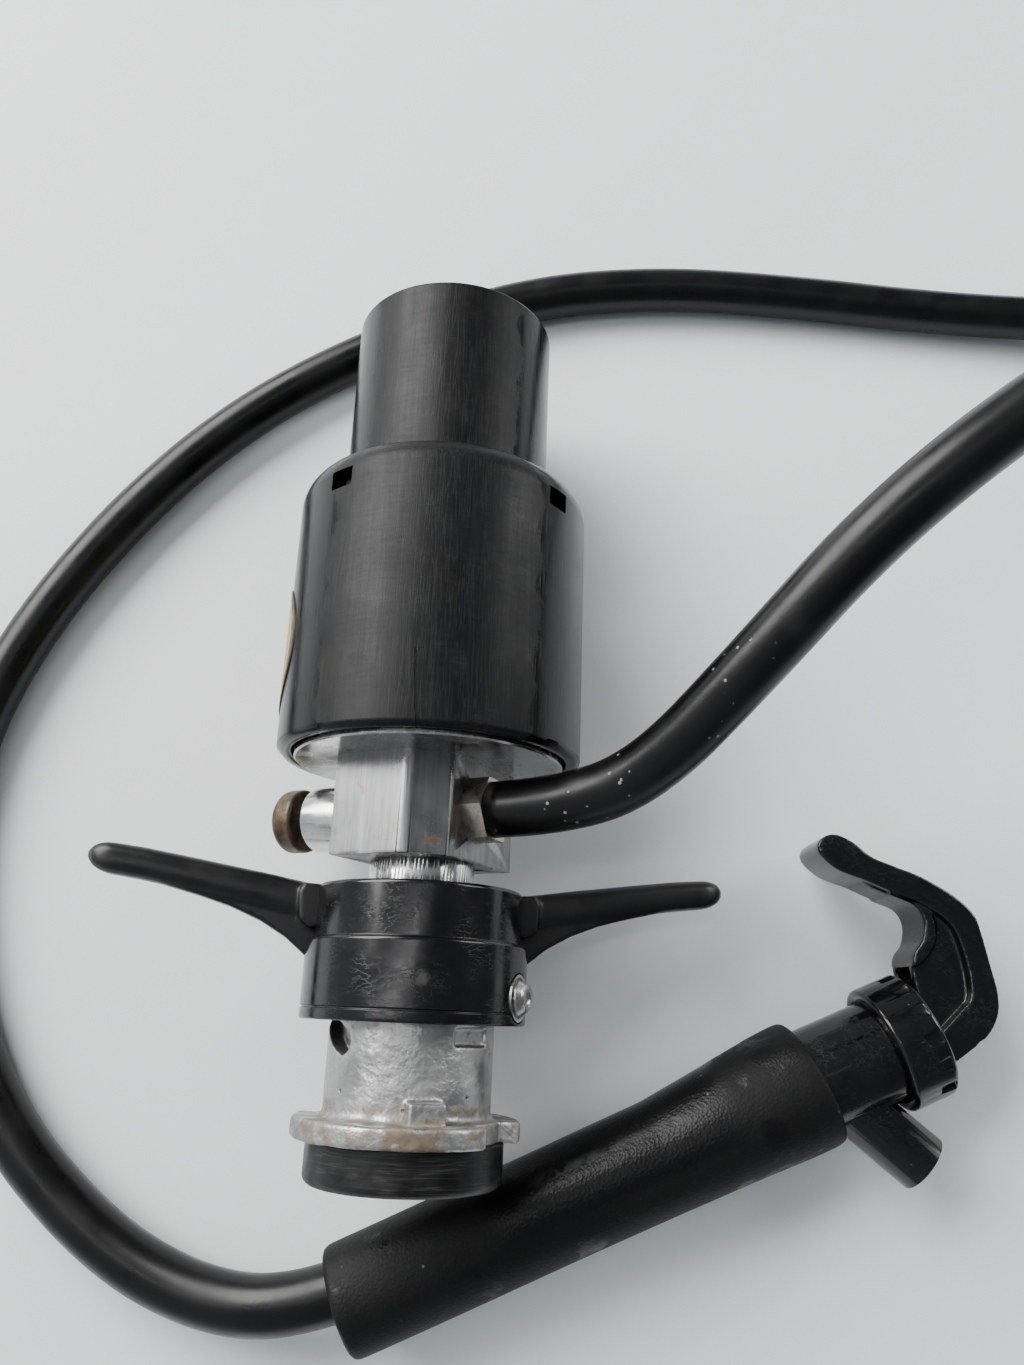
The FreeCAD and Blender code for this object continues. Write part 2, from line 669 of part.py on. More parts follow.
def radial(azimuth):
    angle = math.radians(as_size(azimuth).value)
    return FreeCAD.Rotation(Z_AXIS, FreeCAD.Vector(math.sin(angle), 0, math.cos(angle)))


def wing(number):
    azimuth = D.wing_azimuth + 180 * number
    root = upper_r - 2
    tip = D.wing_reach
    top = rings - 0.4
    low = top - D.wing_width
    sweep = D.wing_sweep
    bar = slab("wing_bar%d" % number, [
        (root, low), (tip, low + sweep), (tip, top + sweep), (root, top)], D.wing_thick,
        rounds=[((tip, low + sweep), D.wing_width / 2 - 0.2),
                ((tip, top + sweep), D.wing_width / 2 - 0.2)])
    elbow = root + D.web_reach / 3
    web = slab("wing_web%d" % number, [
        (root, low - 8), (elbow, low), (root + D.web_reach, low + 4), (root + D.web_reach, low + 6),
        (root, low + 4)], D.web_thick, rounds=[((elbow, low), 14)])
    turn = FreeCAD.Rotation(Y_AXIS, azimuth.value - 90)
    return [put(bar, on_axis(ring_y), turn), put(web, on_axis(ring_y), turn)]


def collar():
    inside = rings - collar_wall
    bore = barrel_r + D.loose_gap
    blank = turned("collar_rings", [
        (cavity_r, 0), (lower_r, 0), (lower_r, D.lower_ring_length), (upper_r, D.lower_ring_length),
        (upper_r, rings), (bore, rings), (bore, inside), (cavity_r, inside)],
        rounds=[(lower_r, 0, 0.8), (lower_r, D.lower_ring_length, 0.6), (upper_r, rings, 1.0)])
    put(blank, on_axis(ring_y))
    solid = joined("collar_moulding", [blank] + wing(0) + wing(1))
    holes = []
    screws = []
    washers = []
    shank_r = D.pin_dia / 2
    slot_floor = body_r - 3.2
    for number in range(2):
        azimuth = D.pin_azimuth + 180 * number
        turn = radial(azimuth)
        holes.append(rod("pin_bore%d" % number, ring_point(cavity_r - 4, azimuth, pin_y),
                         shank_r + D.fixed_gap, 14, turn))
        holes.append(rod("spot_face%d" % number, ring_point(spot_r, azimuth, pin_y),
                         D.washer_dia / 2 + 0.4, 4, turn))
        face = spot_r + 1.0
        shank = rod("pin_shank%d" % number, ring_point(slot_floor + 0.4, azimuth, pin_y), shank_r,
                    face - slot_floor - 0.4, turn)
        head = doc.addObject("Part::Cone", "pin_head%d" % number)
        bind(head, "Radius1", D.screw_head / 2)
        bind(head, "Radius2", D.screw_head / 2 - 1.7)
        bind(head, "Height", 2.2)
        put(head, ring_point(face, azimuth, pin_y), turn)
        socket = hexagon("pin_socket%d" % number, as_size(3), 1.6,
                         ring_point(face + 0.7, azimuth, pin_y), turn)
        screws.append(cut("pin_screw%d" % number,
                          joined("pin_screw_blank%d" % number, [shank, head]), [socket]))
        ring = rod("washer_blank%d" % number, ring_point(spot_r, azimuth, pin_y),
                   D.washer_dia / 2, 1.0, turn)
        eye = rod("washer_eye%d" % number, ring_point(spot_r, azimuth, pin_y),
                  shank_r + D.fixed_gap, 1.0, turn)
        washers.append(cut("pin_washer%d" % number, ring, [eye]))
    keep(cut("wing_collar", solid, holes))
    keep(group("collar_screws", screws))
    keep(group("collar_washers", washers))


# ---------------------------------------------------------------- coupler
def cam_slots():
    """Two helical slots, each cut by the pin's path while the collar turns."""
    steps = 9
    radius = D.pin_dia.value / 2 + 0.4
    depth = 6.0
    inner = body_r.value - 3.2
    turn = math.radians(D.cam_turn.value)
    solids = []
    for number in range(2):
        first = math.radians(D.pin_azimuth.value + 180 * number)
        spots = []
        for i in range(steps + 1):
            part = i / steps
            angle = first + turn * part
            y = pin_y.value - D.cam_travel.value * part
            out = FreeCAD.Vector(math.sin(angle), 0, math.cos(angle))
            spots.append((FreeCAD.Vector(0, y, AXIS_Z.value) + out * inner, out))
            solids.append(Part.makeCylinder(radius, depth, spots[-1][0], out))
        for (start, out), (end, _) in zip(spots, spots[1:]):
            run = end - start
            side = out.cross(run).normalize() * radius
            corners = [start - side, start + side, end + side, end - side, start - side]
            face = Part.Face(Part.makePolygon(corners))
            solids.append(face.extrude(out * depth))
        # the slot runs out through the body's inner end, so that the pin can be fitted
        mouth_length = body_top.value - pin_y.value + 1
        solids.append(Part.makeBox(2 * radius, mouth_length, depth,
                                   FreeCAD.Vector(-radius, 0, 0), Z_AXIS))
        solids[-1].Placement = FreeCAD.Placement(
            vector(ring_point(inner, D.pin_azimuth + 180 * number, pin_y)),
            FreeCAD.Rotation(Y_AXIS, D.pin_azimuth.value + 180 * number)).multiply(
                FreeCAD.Placement(FreeCAD.Vector(-radius, 0, 0), NO_TURN))
    shape = solids[0].multiFuse(solids[1:])
    tool = doc.addObject("Part::Feature", "cam_slot_cutter")
    tool.Shape = shape
    return tool


body_top = FLANGE_BACK + D.body_length


def coupler():
    flange_r = D.flange_dia / 2
    low = start_of("flange_thick")
    throat = D.throat_dia / 2
    bore = barrel_r + D.loose_gap
    spigot = 13.0
    reach = 6.4
    top = reach + D.flange_thick + D.body_length
    blank = turned("coupler_blank", [
        (throat, 0), (spigot, 0), (spigot, reach), (flange_r, reach),
        (flange_r, reach + D.flange_thick), (body_r, reach + D.flange_thick), (body_r, top),
        (bore, top), (bore, reach + D.flange_thick + 4), (throat, reach + D.flange_thick + 4)],
        rounds=[(body_r, reach + D.flange_thick, 1.5), (flange_r, reach + D.flange_thick, 0.8),
                (flange_r, reach, 0.8)])
    put(blank, on_axis(low - reach))
    span = D.lug_gap_end - D.lug_gap_start
    gaps = []
    stops = []
    for number in range(2):
        opening = doc.addObject("Part::Cylinder", "lug_sector%d" % number)
        bind(opening, "Radius", flange_r + 2)
        bind(opening, "Height", D.flange_thick + 2)
        bind(opening, "Angle", span)
        turn = FreeCAD.Rotation(Y_AXIS, 180 * number + D.lug_gap_start.value - 90 + span.value)
        put(opening, on_axis(low - 1), turn.multiply(ALONG_Y))
        core = rod("lug_core%d" % number, on_axis(low - 2), flange_r - D.lug_depth,
                   D.flange_thick + 4, ALONG_Y)
        gaps.append(cut("lug_gap%d" % number, opening, [core]))
        azimuth = as_size(15 + 180 * number)
        spot = ring_point(body_r - 2, azimuth, FLANGE_BACK - 1)
        spot = (spot[0] - 4.0 * cosine(azimuth), spot[1], spot[2] + 4.0 * sine(azimuth))
        stops.append(brick("lug_stop%d" % number, (8, 5.5, 6.6), spot,
                           FreeCAD.Rotation(Y_AXIS, azimuth.value)))
    pockets = []
    for number, azimuth in enumerate((as_size(50), as_size(230))):
        spot = ring_point(body_r - 1.4, azimuth, ring_y - 4.6)
        spot = (spot[0] - 5 * cosine(azimuth), spot[1], spot[2] + 5 * sine(azimuth))
        pockets.append(brick("cast_pocket%d" % number, (10, 4, 6), spot,
                             FreeCAD.Rotation(Y_AXIS, azimuth.value)))
    solid = joined("coupler_casting", [blank] + stops)
    keep(cut("coupler_body", solid, gaps + pockets + [cam_slots()]))
    seal_r = D.seal_dia / 2
    keep(put(turned("bottom_seal", [
        (throat, 0), (seal_r, 0), (seal_r, D.seal_length), (spigot + D.fixed_gap, D.seal_length),
        (spigot + D.fixed_gap, D.seal_length - reach - 0.1), (throat, D.seal_length - reach - 0.1)],
        rounds=[(seal_r, 0, 2.0), (seal_r, D.seal_length, 0.6)]), on_axis(start_of("seal_length"))))


# ---------------------------------------------------------------- label
def label_plate():
    """Thin curved plate on the housing's left side."""
    skin = turned("label_skin", [(housing_r + 0.05, 0), (housing_r + 0.35, 0),
                                 (housing_r + 0.35, 34), (housing_r + 0.05, 34)])
    put(skin, on_axis(housing_y + 9.5))
    window = doc.addObject("Part::Cylinder", "label_window")
    bind(window, "Radius", 17)
    bind(window, "Height", 20)
    put(window, ring_point(housing_r - 8, -88, housing_y + 26.5), radial(-88))
    plate = doc.addObject("Part::Common", "label_plate")
    plate.Base = skin
    plate.Tool = window
    plate.Label = "label_plate"
    keep(plate)


# ---------------------------------------------------------------- hose
# Route points by hand, x, y, z; the two at each end are worked out from the fittings.
HOSE_ROUTE = [
    (52, -20.5, 68), (70, -2, 84.5), (92, 22.5, 104), (120, 45, 115), (154, 67, 120),
    (190, 84, 119), (223, 92, 111), (245, 103, 91), (254, 118, 63), (245, 134, 35),
    (222, 145, 15.5), (190, 150, 8), (150, 152, 6.9), (106, 156, 6.9), (62, 157.5, 6.9),
    (18, 151, 6.9), (-28, 130, 6.9), (-66, 104, 6.9), (-96, 71, 6.9), (-121, 30, 6.9),
    (-134, -12, 6.9), (-129, -58, 6.9), (-108, -101, 6.9), (-77, -129, 7.5), (-48, -141, 11)]


def hose_points():
    nut_face = half_across + D.nut_length
    mouth = -D.grip_length
    ends = [vector(port_point(nut_face)), vector(port_point(nut_face + 20))]
    tail = [vector(faucet_point(0, mouth - 8)), vector(faucet_point(0, mouth + 14))]
    return ends + [FreeCAD.Vector(*p) for p in HOSE_ROUTE] + tail


def rounded_path(points):
    """Straight runs joined by tangent arcs, each as large as its two runs allow."""
    edges = []
    radii = []
    last = points[0]
    for before, corner, after in zip(points, points[1:], points[2:]):
        into = (corner - before).normalize()
        out = (after - corner).normalize()
        half = into.getAngle(out) / 2
        tangent = 0.45 * min((corner - before).Length, (after - corner).Length)
        radii.append(tangent / math.tan(half))
        first = corner - into * tangent
        second = corner + out * tangent
        inward = (out - into).normalize()
        middle = corner + inward * (radii[-1] / math.cos(half) - radii[-1])
        edges.append(Part.LineSegment(last, first).toShape())
        edges.append(Part.Arc(first, middle, second).toShape())
        last = second
    edges.append(Part.LineSegment(last, points[-1]).toShape())
    return Part.Wire(edges), radii


def tube(label, points, diameter):
    path, radii = rounded_path(points)
    heading = (points[1] - points[0]).normalize()
    circle = Part.Wire(Part.makeCircle(diameter.value / 2, points[0], heading))
    shape = path.makePipeShell([circle], True, False)
    piece = doc.addObject("Part::Feature", label)
    piece.Shape = shape
    piece.Label = label
    expected = math.pi * diameter.value ** 2 / 4 * path.Length
    print("%s: length %.1f, radii %s" % (label, path.Length, [round(r) for r in radii]))
    print("%s: volume %.1f, section times length %.1f" % (label, shape.Volume, expected))
    return piece


# ---------------------------------------------------------------- grip and faucet
def grip():
    mouth = D.grip_mouth_dia / 2
    thin = D.grip_dia / 2
    length = D.grip_length
    bore = D.hose_dia / 2 + D.loose_gap
    seat = D.faucet_dia / 2 + D.loose_gap
    body = turned("grip_sleeve", [
        (bore, 0), (thin, 0), (thin, length - 34), (thin + 1.0, length - 20), (mouth - 0.4, length - 7),
        (mouth, length + 2), (seat, length + 2), (seat, length - 6.5), (bore, length - 6.5)],
        rounds=[(thin, 0, 1.2), (mouth, length + 2, 1.0)])
    keep(put(body, faucet_point(0, -length), FAUCET))
    core = turned("hose_end", [
        (D.hose_bore / 2, 0), (D.hose_dia / 2, 0), (D.hose_dia / 2, length - 21),
        (D.hose_bore / 2, length - 21)])
    keep(put(core, faucet_point(0, 14 - length), FAUCET))


def faucet_body():
    outer = D.faucet_dia / 2
    top = D.faucet_length + 6
    barrel = turned("faucet_barrel", [
        (2.4, 0), (3.6, 0), (3.9, 3), (3.3, 8), (3.9, 8), (3.6, 16), (outer, 16), (outer, 22 + top - 0.5),
        (8.2, 22 + top - 0.5), (8.2, 26), (2.4, 26)], bevels=[(outer, 16, 0.6)])
    put(barrel, faucet_point(0, -22), FAUCET)
    lean = math.radians(D.spout_lean.value)
    out = FAUCET.multVec(FreeCAD.Vector(math.cos(lean), math.sin(lean), 0))
    to_spout = FreeCAD.Rotation(Z_AXIS, out)
    spout = rod("spout_tube", faucet_point(0, 4.4), D.spout_dia / 2, D.spout_length, to_spout)
    whole = joined("faucet_shell", [barrel, spout])
    keep(cut("faucet_body", whole, [
        rod("barrel_clear", faucet_point(0, 4), 8.2, top, FreeCAD.Rotation(Z_AXIS, FAUCET.multVec(Y_AXIS))),
        rod("spout_way", faucet_point(5 * cosine(D.spout_lean), 4.4 + 5 * sine(D.spout_lean)),
            D.spout_bore / 2, D.spout_length, to_spout)]))
    return top


def faucet_cap(top):
    outer = D.cap_dia / 2
    seat = D.faucet_dia / 2 + D.fixed_gap
    height = D.cap_length
    cover = turned("cap_shell", [
        (seat, 0), (outer, 0), (outer, height), (3.0, height), (3.0, 6), (seat, 6)],
        rounds=[(outer, height, 1.6), (outer, 0, 1.0)])
    put(cover, faucet_point(0, D.faucet_length), FAUCET)
    ears = []
    for number, side in enumerate((-1, 1)):
        ear = slab("cap_ear%d" % number, [(-13, height - 1), (-4.4, height - 1), (-4.4, height + 8.6),
                                          (-13, height + 8.6)], 1.8,
                   rounds=[((-4.4, height + 8.6), 3.4), ((-13, height + 8.6), 3.4)])
        ears.append(put(ear, faucet_point(0, D.faucet_length, 3.5 * side), FAUCET))
    eye = rod("ear_eye", faucet_point(-D.lever_pivot_x, D.lever_pivot_y, -6), 1.7, 12, NO_TURN)
    notches = []
    count = 14
    for number in range(count):
        angle = 360.0 / count * number
        swing = FreeCAD.Rotation(Y_AXIS, angle)
        offset = swing.multVec(FreeCAD.Vector(-1.6, 0, outer.value - 0.9))
        notches.append(brick("cap_notch%d" % number, (3.2, 4.2, 3), faucet_point(
            offset.x, D.faucet_length + 6.6, offset.z), FAUCET.multiply(swing)))
    keep(cut("faucet_cap", joined("cap_moulding", [cover] + ears), notches + [eye]))


def lever():
    """Curved squeeze lever: hood over the cap, bend, tapering arm and finger pad."""
    outline = [
        (7.5, 34.0), (6.8, 40), (2, 49.5), (-1.5, 51.8), (-17.5, 55.8), (-22, 56.4), (-28, 53.5),
        (-35, 48.3), (-40, 43.2), (-44.5, 38.6), (-50, 35.8), (-53, 33), (-52.5, 28.6), (-50.3, 27.2),
        (-44.5, 29.8), (-39.5, 34.6), (-33, 40), (-29, 43.6), (-24.8, 44.2), (-21, 41.6),
        (-19, 38.6), (-16.5, 36.6), (-9, 34.0)]
    arm = slab("lever_slab", outline, D.lever_width,
               rounds=[((-22, 56.4), 3.0), ((-24.8, 44.2), 3.0)])
    put(arm, faucet_point(0, 0), FAUCET)
    slot = slab("lever_slot", [(12, 30), (12, 46.5), (-15.4, 46.5), (-15.4, 30)], D.lever_slot)
    put(slot, faucet_point(0, 0), FAUCET)
    eye = rod("lever_eye", faucet_point(-D.lever_pivot_x, D.lever_pivot_y, -12), 1.7, 24, NO_TURN)
    keep(cut("faucet_lever", arm, [slot, eye]))
    pin_length = D.lever_slot + 3
    pin = rod("lever_pin", faucet_point(-D.lever_pivot_x, D.lever_pivot_y, -pin_length / 2),
              1.6, pin_length, NO_TURN)
    pin.Label = "lever_pin"
    keep(pin)


def faucet_valve():
    shaft = D.stem_dia / 2
    stem = turned("faucet_stem", [
        (0, 0), (5.5, 0), (5.5, 1.4), (shaft, 1.4), (shaft, 36), (3.6, 36), (3.6, 38), (0, 38)],
        rounds=[(3.6, 38, 0.6)])
    keep(put(stem, faucet_point(0, 6.2), FAUCET))
    keep(put(turned("faucet_seat", [(3.0, 0), (5.5, 0), (5.5, 1.8), (0, 1.8), (0, 0.6), (3.0, 0.6)]),
             faucet_point(0, 4.2), FAUCET))
    low = as_size(8.2)
    high = D.faucet_length + 6 - 0.3
    keep(coil("faucet_spring", as_size(4.6), as_size(0.9), as_size(7), high - low - 0.9,
              faucet_point(0, low + 0.45), FreeCAD.Rotation(Z_AXIS, FAUCET.multVec(Y_AXIS))))


keep(round_housing())
keep(guide_ring())
bottom_plate()
plunger(pump_inside())
valve_block()
check_valve()
hose_fitting()
relief_valve()
probe()
collar()
coupler()
label_plate()
keep(tube("hose", hose_points(), D.hose_dia))
grip()
faucet_cap(faucet_body())
lever()
faucet_valve()
doc.recompute()

for obj in doc.Objects:
    if "Invalid" in obj.State or "Error" in obj.State:
        raise SystemExit("failed object: " + obj.Name)
names = [piece.Label for piece in NODES]
if len(set(names)) != len(names):
    raise SystemExit("two pieces share a name")
for piece in doc.Objects:
    if hasattr(piece, "Shape") and piece.TypeId.startswith("Part"):
        if piece.Shape.isNull() or not piece.Shape.isValid():
            raise SystemExit("bad shape: " + piece.Label)

os.makedirs("parts", exist_ok=True)
for piece in NODES:
    piece.Shape.exportStep("parts/%s.step" % piece.Label)
    print(piece.Label, len(piece.Shape.Solids), round(piece.Shape.Volume, 1))
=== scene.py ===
import json
import math

import bmesh
import bpy
from mathutils import Matrix, Vector

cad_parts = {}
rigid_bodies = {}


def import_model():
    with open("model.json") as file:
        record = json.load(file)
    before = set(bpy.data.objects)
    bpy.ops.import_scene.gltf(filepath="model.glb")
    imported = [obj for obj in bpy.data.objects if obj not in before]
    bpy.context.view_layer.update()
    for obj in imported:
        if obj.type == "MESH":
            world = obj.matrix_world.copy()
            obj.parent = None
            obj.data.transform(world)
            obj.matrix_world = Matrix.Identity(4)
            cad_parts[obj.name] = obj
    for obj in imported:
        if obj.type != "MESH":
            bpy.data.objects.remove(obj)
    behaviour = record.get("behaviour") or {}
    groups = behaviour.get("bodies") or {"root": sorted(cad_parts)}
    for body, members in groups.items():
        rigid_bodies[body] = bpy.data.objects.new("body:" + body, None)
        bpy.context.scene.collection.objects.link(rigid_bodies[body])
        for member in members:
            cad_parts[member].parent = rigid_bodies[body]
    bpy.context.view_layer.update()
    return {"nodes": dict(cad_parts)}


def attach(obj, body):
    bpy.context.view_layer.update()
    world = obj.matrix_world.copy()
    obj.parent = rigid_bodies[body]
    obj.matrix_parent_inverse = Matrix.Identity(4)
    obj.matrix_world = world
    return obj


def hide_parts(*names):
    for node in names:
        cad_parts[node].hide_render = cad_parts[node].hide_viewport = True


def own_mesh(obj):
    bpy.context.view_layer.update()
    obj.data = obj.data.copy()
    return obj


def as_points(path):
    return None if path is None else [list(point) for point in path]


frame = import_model()
nodes = frame["nodes"]
scene_objects = bpy.context.scene.collection.objects

MM = 0.001
AXIS_HEIGHT = 37.75
PUMP_HALF = 109.85
FAUCET_ORIGIN = Vector((97, -87, 15.6))
FAUCET_TURN = math.radians(66)


# ------------------------------------------------------------ camera and a lamp helper
def place_camera():
    data = bpy.data.cameras.new("camera")
    data.sensor_fit = "VERTICAL"
    data.sensor_height = 36
    data.lens = 27.03
    data.clip_start = 0.01
    camera = bpy.data.objects.new("camera", data)
    camera.location = (0.020, -0.0732, 0.289)
    camera.rotation_euler = (0.313012, -0.012167, 0.037891)
    scene_objects.link(camera)
    bpy.context.scene.camera = camera


def place_lamp(name, location, target, size, power, shape="RECTANGLE", colour=(1, 1, 1)):
    data = bpy.data.lights.new(name, "AREA")
    data.shape = shape
    data.size = size[0]
    data.size_y = size[1]
    data.energy = power
    data.color = colour
    lamp = bpy.data.objects.new(name, data)
    lamp.location = location
    aim = Vector(target) - Vector(location)
    lamp.rotation_euler = aim.to_track_quat("-Z", "Y").to_euler()
    scene_objects.link(lamp)


place_camera()


# ------------------------------------------------------------ hose centreline
HOSE_ROUTE = [
    (17.48, -26.85, 47.05), (35.14, -26.85, 56.43), (52, -20.5, 68), (70, -2, 84.5),
    (92, 22.5, 104), (120, 45, 115), (154, 67, 120), (190, 84, 119), (223, 92, 111),
    (245, 103, 91), (254, 118, 63), (245, 134, 35), (222, 145, 15.5), (190, 150, 8),
    (150, 152, 6.9), (106, 156, 6.9), (62, 157.5, 6.9), (18, 151, 6.9), (-28, 130, 6.9),
    (-66, 104, 6.9), (-96, 71, 6.9), (-121, 30, 6.9), (-134, -12, 6.9), (-129, -58, 6.9),
    (-108, -101, 6.9), (-77, -129, 7.5), (-48, -141, 11), (-22.67, -140.28, 15.6),
    (-2.57, -131.33, 15.6)]
HOSE_DIAMETER = 0.0135


def hose_line(thickness):
    """Curve along the route: bare when thickness is 0, otherwise a closed round tube."""
    data = bpy.data.curves.new("hose_line", "CURVE")
    data.dimensions = "3D"
    line = data.splines.new("NURBS")
    line.points.add(len(HOSE_ROUTE) - 1)
    for point, spot in zip(line.points, HOSE_ROUTE):
        point.co = (*(Vector(spot) * MM), 1)
    line.order_u = 3
    line.use_endpoint_u = True
    line.resolution_u = 10
    data.bevel_depth = thickness / 2
    data.bevel_resolution = 8
    data.use_fill_caps = thickness > 0
    holder = bpy.data.objects.new("hose_line", data)
    scene_objects.link(holder)
    mesh = bpy.data.meshes.new_from_object(holder)
    bpy.data.objects.remove(holder)
    return mesh


def make_hose():
    """The hose as a mesh tube, and the points that it follows."""
    path = [tuple(v.co) for v in hose_line(0).vertices]
    mesh = hose_line(HOSE_DIAMETER)
    work = bmesh.new()
    work.from_mesh(mesh)
    bmesh.ops.remove_doubles(work, verts=work.verts, dist=1e-6)
    bmesh.ops.recalc_face_normals(work, faces=work.faces)
    work.to_mesh(mesh)
    work.free()
    mesh.polygons.foreach_set("use_smooth", [True] * len(mesh.polygons))
    hose = bpy.data.objects.new("hose_tube", mesh)
    scene_objects.link(hose)
    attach(hose, "pump")
    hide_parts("hose")
    return hose, path


hose, hose_path = make_hose()


# ------------------------------------------------------------ node helpers
def add(tree, kind, inputs=None, **settings):
    """New node; inputs take either a plain value or another node's socket."""
    made = tree.nodes.new(kind if kind.startswith("Node") else "ShaderNode" + kind)
    for key, value in settings.items():
        setattr(made, key, value)
    for key, value in (inputs or {}).items():
        socket = made.inputs[key]
        if isinstance(value, bpy.types.NodeSocket):
            tree.links.new(value, socket)
        else:
            socket.default_value = value
    return made


def math_node(tree, operation, first, second=0.0, clamp=False):
    made = add(tree, "Math", {0: first, 1: second}, operation=operation, use_clamp=clamp)
    return made.outputs[0]


def spread(tree, value, low, high, out_low=0.0, out_high=1.0, smooth=True):
    """Value carried from the range low..high to out_low..out_high."""
    kind = "SMOOTHSTEP" if smooth else "LINEAR"
    made = add(tree, "MapRange", {"Value": value, "From Min": low, "From Max": high,
                                  "To Min": out_low, "To Max": out_high},
               interpolation_type=kind)
    return made.outputs["Result"]


def tint(tree, mask, plain, covered):
    """Colour that goes from plain to covered as the mask rises."""
    made = add(tree, "Mix", {0: mask, 6: plain, 7: covered}, data_type="RGBA")
    return made.outputs[2]


def rgb(red, green, blue):
    return (red, green, blue, 1.0)


def new_group(name, inputs, outputs):
    tree = bpy.data.node_groups.new(name, "ShaderNodeTree")
    for label, kind, value in inputs:
        socket = tree.interface.new_socket(label, in_out="INPUT", socket_type="NodeSocket" + kind)
        socket.default_value = value
    for label, kind in outputs:
        tree.interface.new_socket(label, in_out="OUTPUT", socket_type="NodeSocket" + kind)
    entry = add(tree, "NodeGroupInput")
    close = add(tree, "NodeGroupOutput")
    return tree, entry.outputs, close.inputs


def use(tree, group, inputs):
    made = tree.nodes.new("ShaderNodeGroup")
    made.node_tree = group
    for key, value in inputs.items():
        if isinstance(value, bpy.types.NodeSocket):
            tree.links.new(value, made.inputs[key])
        else:
            made.inputs[key].default_value = value
    return made.outputs[0]


# ------------------------------------------------------------ shared surface effects
def grain_group():
    """Cloudy grain, stretched along any axis; Size is a grain's length in metres."""
    tree, given, result = new_group("surface_grain", [
        ("Position", "Vector", (0, 0, 0)), ("Stretch", "Vector", (1, 1, 1)),
        ("Size", "Float", 0.001), ("Detail", "Float", 3.0), ("Roughness", "Float", 0.5)],
        [("Grain", "Float")])
    scaled = add(tree, "VectorMath", {0: given["Position"], 1: given["Stretch"]},
                 operation="MULTIPLY")
    sized = add(tree, "VectorMath", {0: scaled.outputs[0],
                                     "Scale": math_node(tree, "DIVIDE", 1.0, given["Size"])},
                operation="SCALE")
    noise = add(tree, "TexNoise", {"Vector": sized.outputs[0], "Scale": 1.0,
                                   "Detail": given["Detail"], "Roughness": given["Roughness"]})
    tree.links.new(noise.outputs[0], result["Grain"])
    return tree


def scratch_group(grain):
    """Thin scratches along one axis, gathered in patches."""
    tree, given, result = new_group("scratches", [
        ("Position", "Vector", (0, 0, 0)), ("Stretch", "Vector", (1, 1, 1)),
        ("Size", "Float", 0.0005), ("Patch Size", "Float", 0.02), ("Amount", "Float", 0.5)],
        [("Mask", "Float")])
    lines = use(tree, grain, {"Position": given["Position"], "Stretch": given["Stretch"],
                              "Size": given["Size"], "Detail": 2.0})
    patch = use(tree, grain, {"Position": given["Position"], "Size": given["Patch Size"],
                              "Detail": 3.0})
    near = math_node(tree, "SUBTRACT", lines, 0.5)
    thin = spread(tree, math_node(tree, "ABSOLUTE", near), 0.0, 0.05, 1.0, 0.0)
    edge = math_node(tree, "SUBTRACT", 1.0, given["Amount"])
    where = spread(tree, patch, math_node(tree, "MULTIPLY", edge, 0.7),
                   math_node(tree, "ADD", math_node(tree, "MULTIPLY", edge, 0.7), 0.25))
    tree.links.new(math_node(tree, "MULTIPLY", thin, where), result["Mask"])
    return tree


def stain_group(grain):
    """Irregular blotches that cover a share of the surface."""
    tree, given, result = new_group("stains", [
        ("Position", "Vector", (0, 0, 0)), ("Size", "Float", 0.01), ("Cover", "Float", 0.4),
        ("Softness", "Float", 0.1)], [("Mask", "Float")])
    cloud = use(tree, grain, {"Position": given["Position"], "Size": given["Size"],
                              "Detail": 6.0, "Roughness": 0.62})
    level = spread(tree, given["Cover"], 0.0, 1.0, 0.72, 0.28, smooth=False)
    top = math_node(tree, "ADD", level, given["Softness"])
    tree.links.new(spread(tree, cloud, level, top), result["Mask"])
    return tree


def edge_group(grain):
    """Worn outer edges, broken up by grain."""
    tree, given, result = new_group("edge_wear", [
        ("Position", "Vector", (0, 0, 0)), ("Width", "Float", 0.0006),
        ("Amount", "Float", 0.6)], [("Mask", "Float")])
    rounded = add(tree, "Bevel", {"Radius": given["Width"]}, samples=4)
    plain = add(tree, "NewGeometry")
    facing = add(tree, "VectorMath", {0: rounded.outputs[0], 1: plain.outputs["Normal"]},
                 operation="DOT_PRODUCT")
    turned = math_node(tree, "SUBTRACT", 1.0, facing.outputs["Value"])
    wide = spread(tree, turned, 0.01, 0.18)
    broken = use(tree, grain, {"Position": given["Position"], "Size": 0.0025, "Detail": 4.0})
    patch = spread(tree, broken, 0.35, 0.62)
    shown = math_node(tree, "MULTIPLY", wide, math_node(tree, "ADD", patch, 0.25), clamp=True)
    tree.links.new(math_node(tree, "MULTIPLY", shown, given["Amount"], clamp=True),
                   result["Mask"])
    return tree


def speck_group(grain):
    """Small light nicks and dust specks, scattered."""
    tree, given, result = new_group("specks", [
        ("Position", "Vector", (0, 0, 0)), ("Spacing", "Float", 0.003),
        ("Speck Size", "Float", 0.12), ("Amount", "Float", 0.3)], [("Mask", "Float")])
    inverse = math_node(tree, "DIVIDE", 1.0, given["Spacing"])
    spots = add(tree, "TexVoronoi", {"Vector": given["Position"], "Scale": inverse})
    near = spread(tree, spots.outputs["Distance"],
                  math_node(tree, "MULTIPLY", given["Speck Size"], 0.5), given["Speck Size"],
                  1.0, 0.0)
    chance = add(tree, "SeparateColor", {0: spots.outputs["Color"]}).outputs[0]
    kept = math_node(tree, "LESS_THAN", chance, given["Amount"])
    ragged = use(tree, grain, {"Position": given["Position"], "Size": 0.0008})
    shaped = math_node(tree, "MULTIPLY", near, spread(tree, ragged, 0.38, 0.55))
    tree.links.new(math_node(tree, "MULTIPLY", shaped, kept), result["Mask"])
    return tree


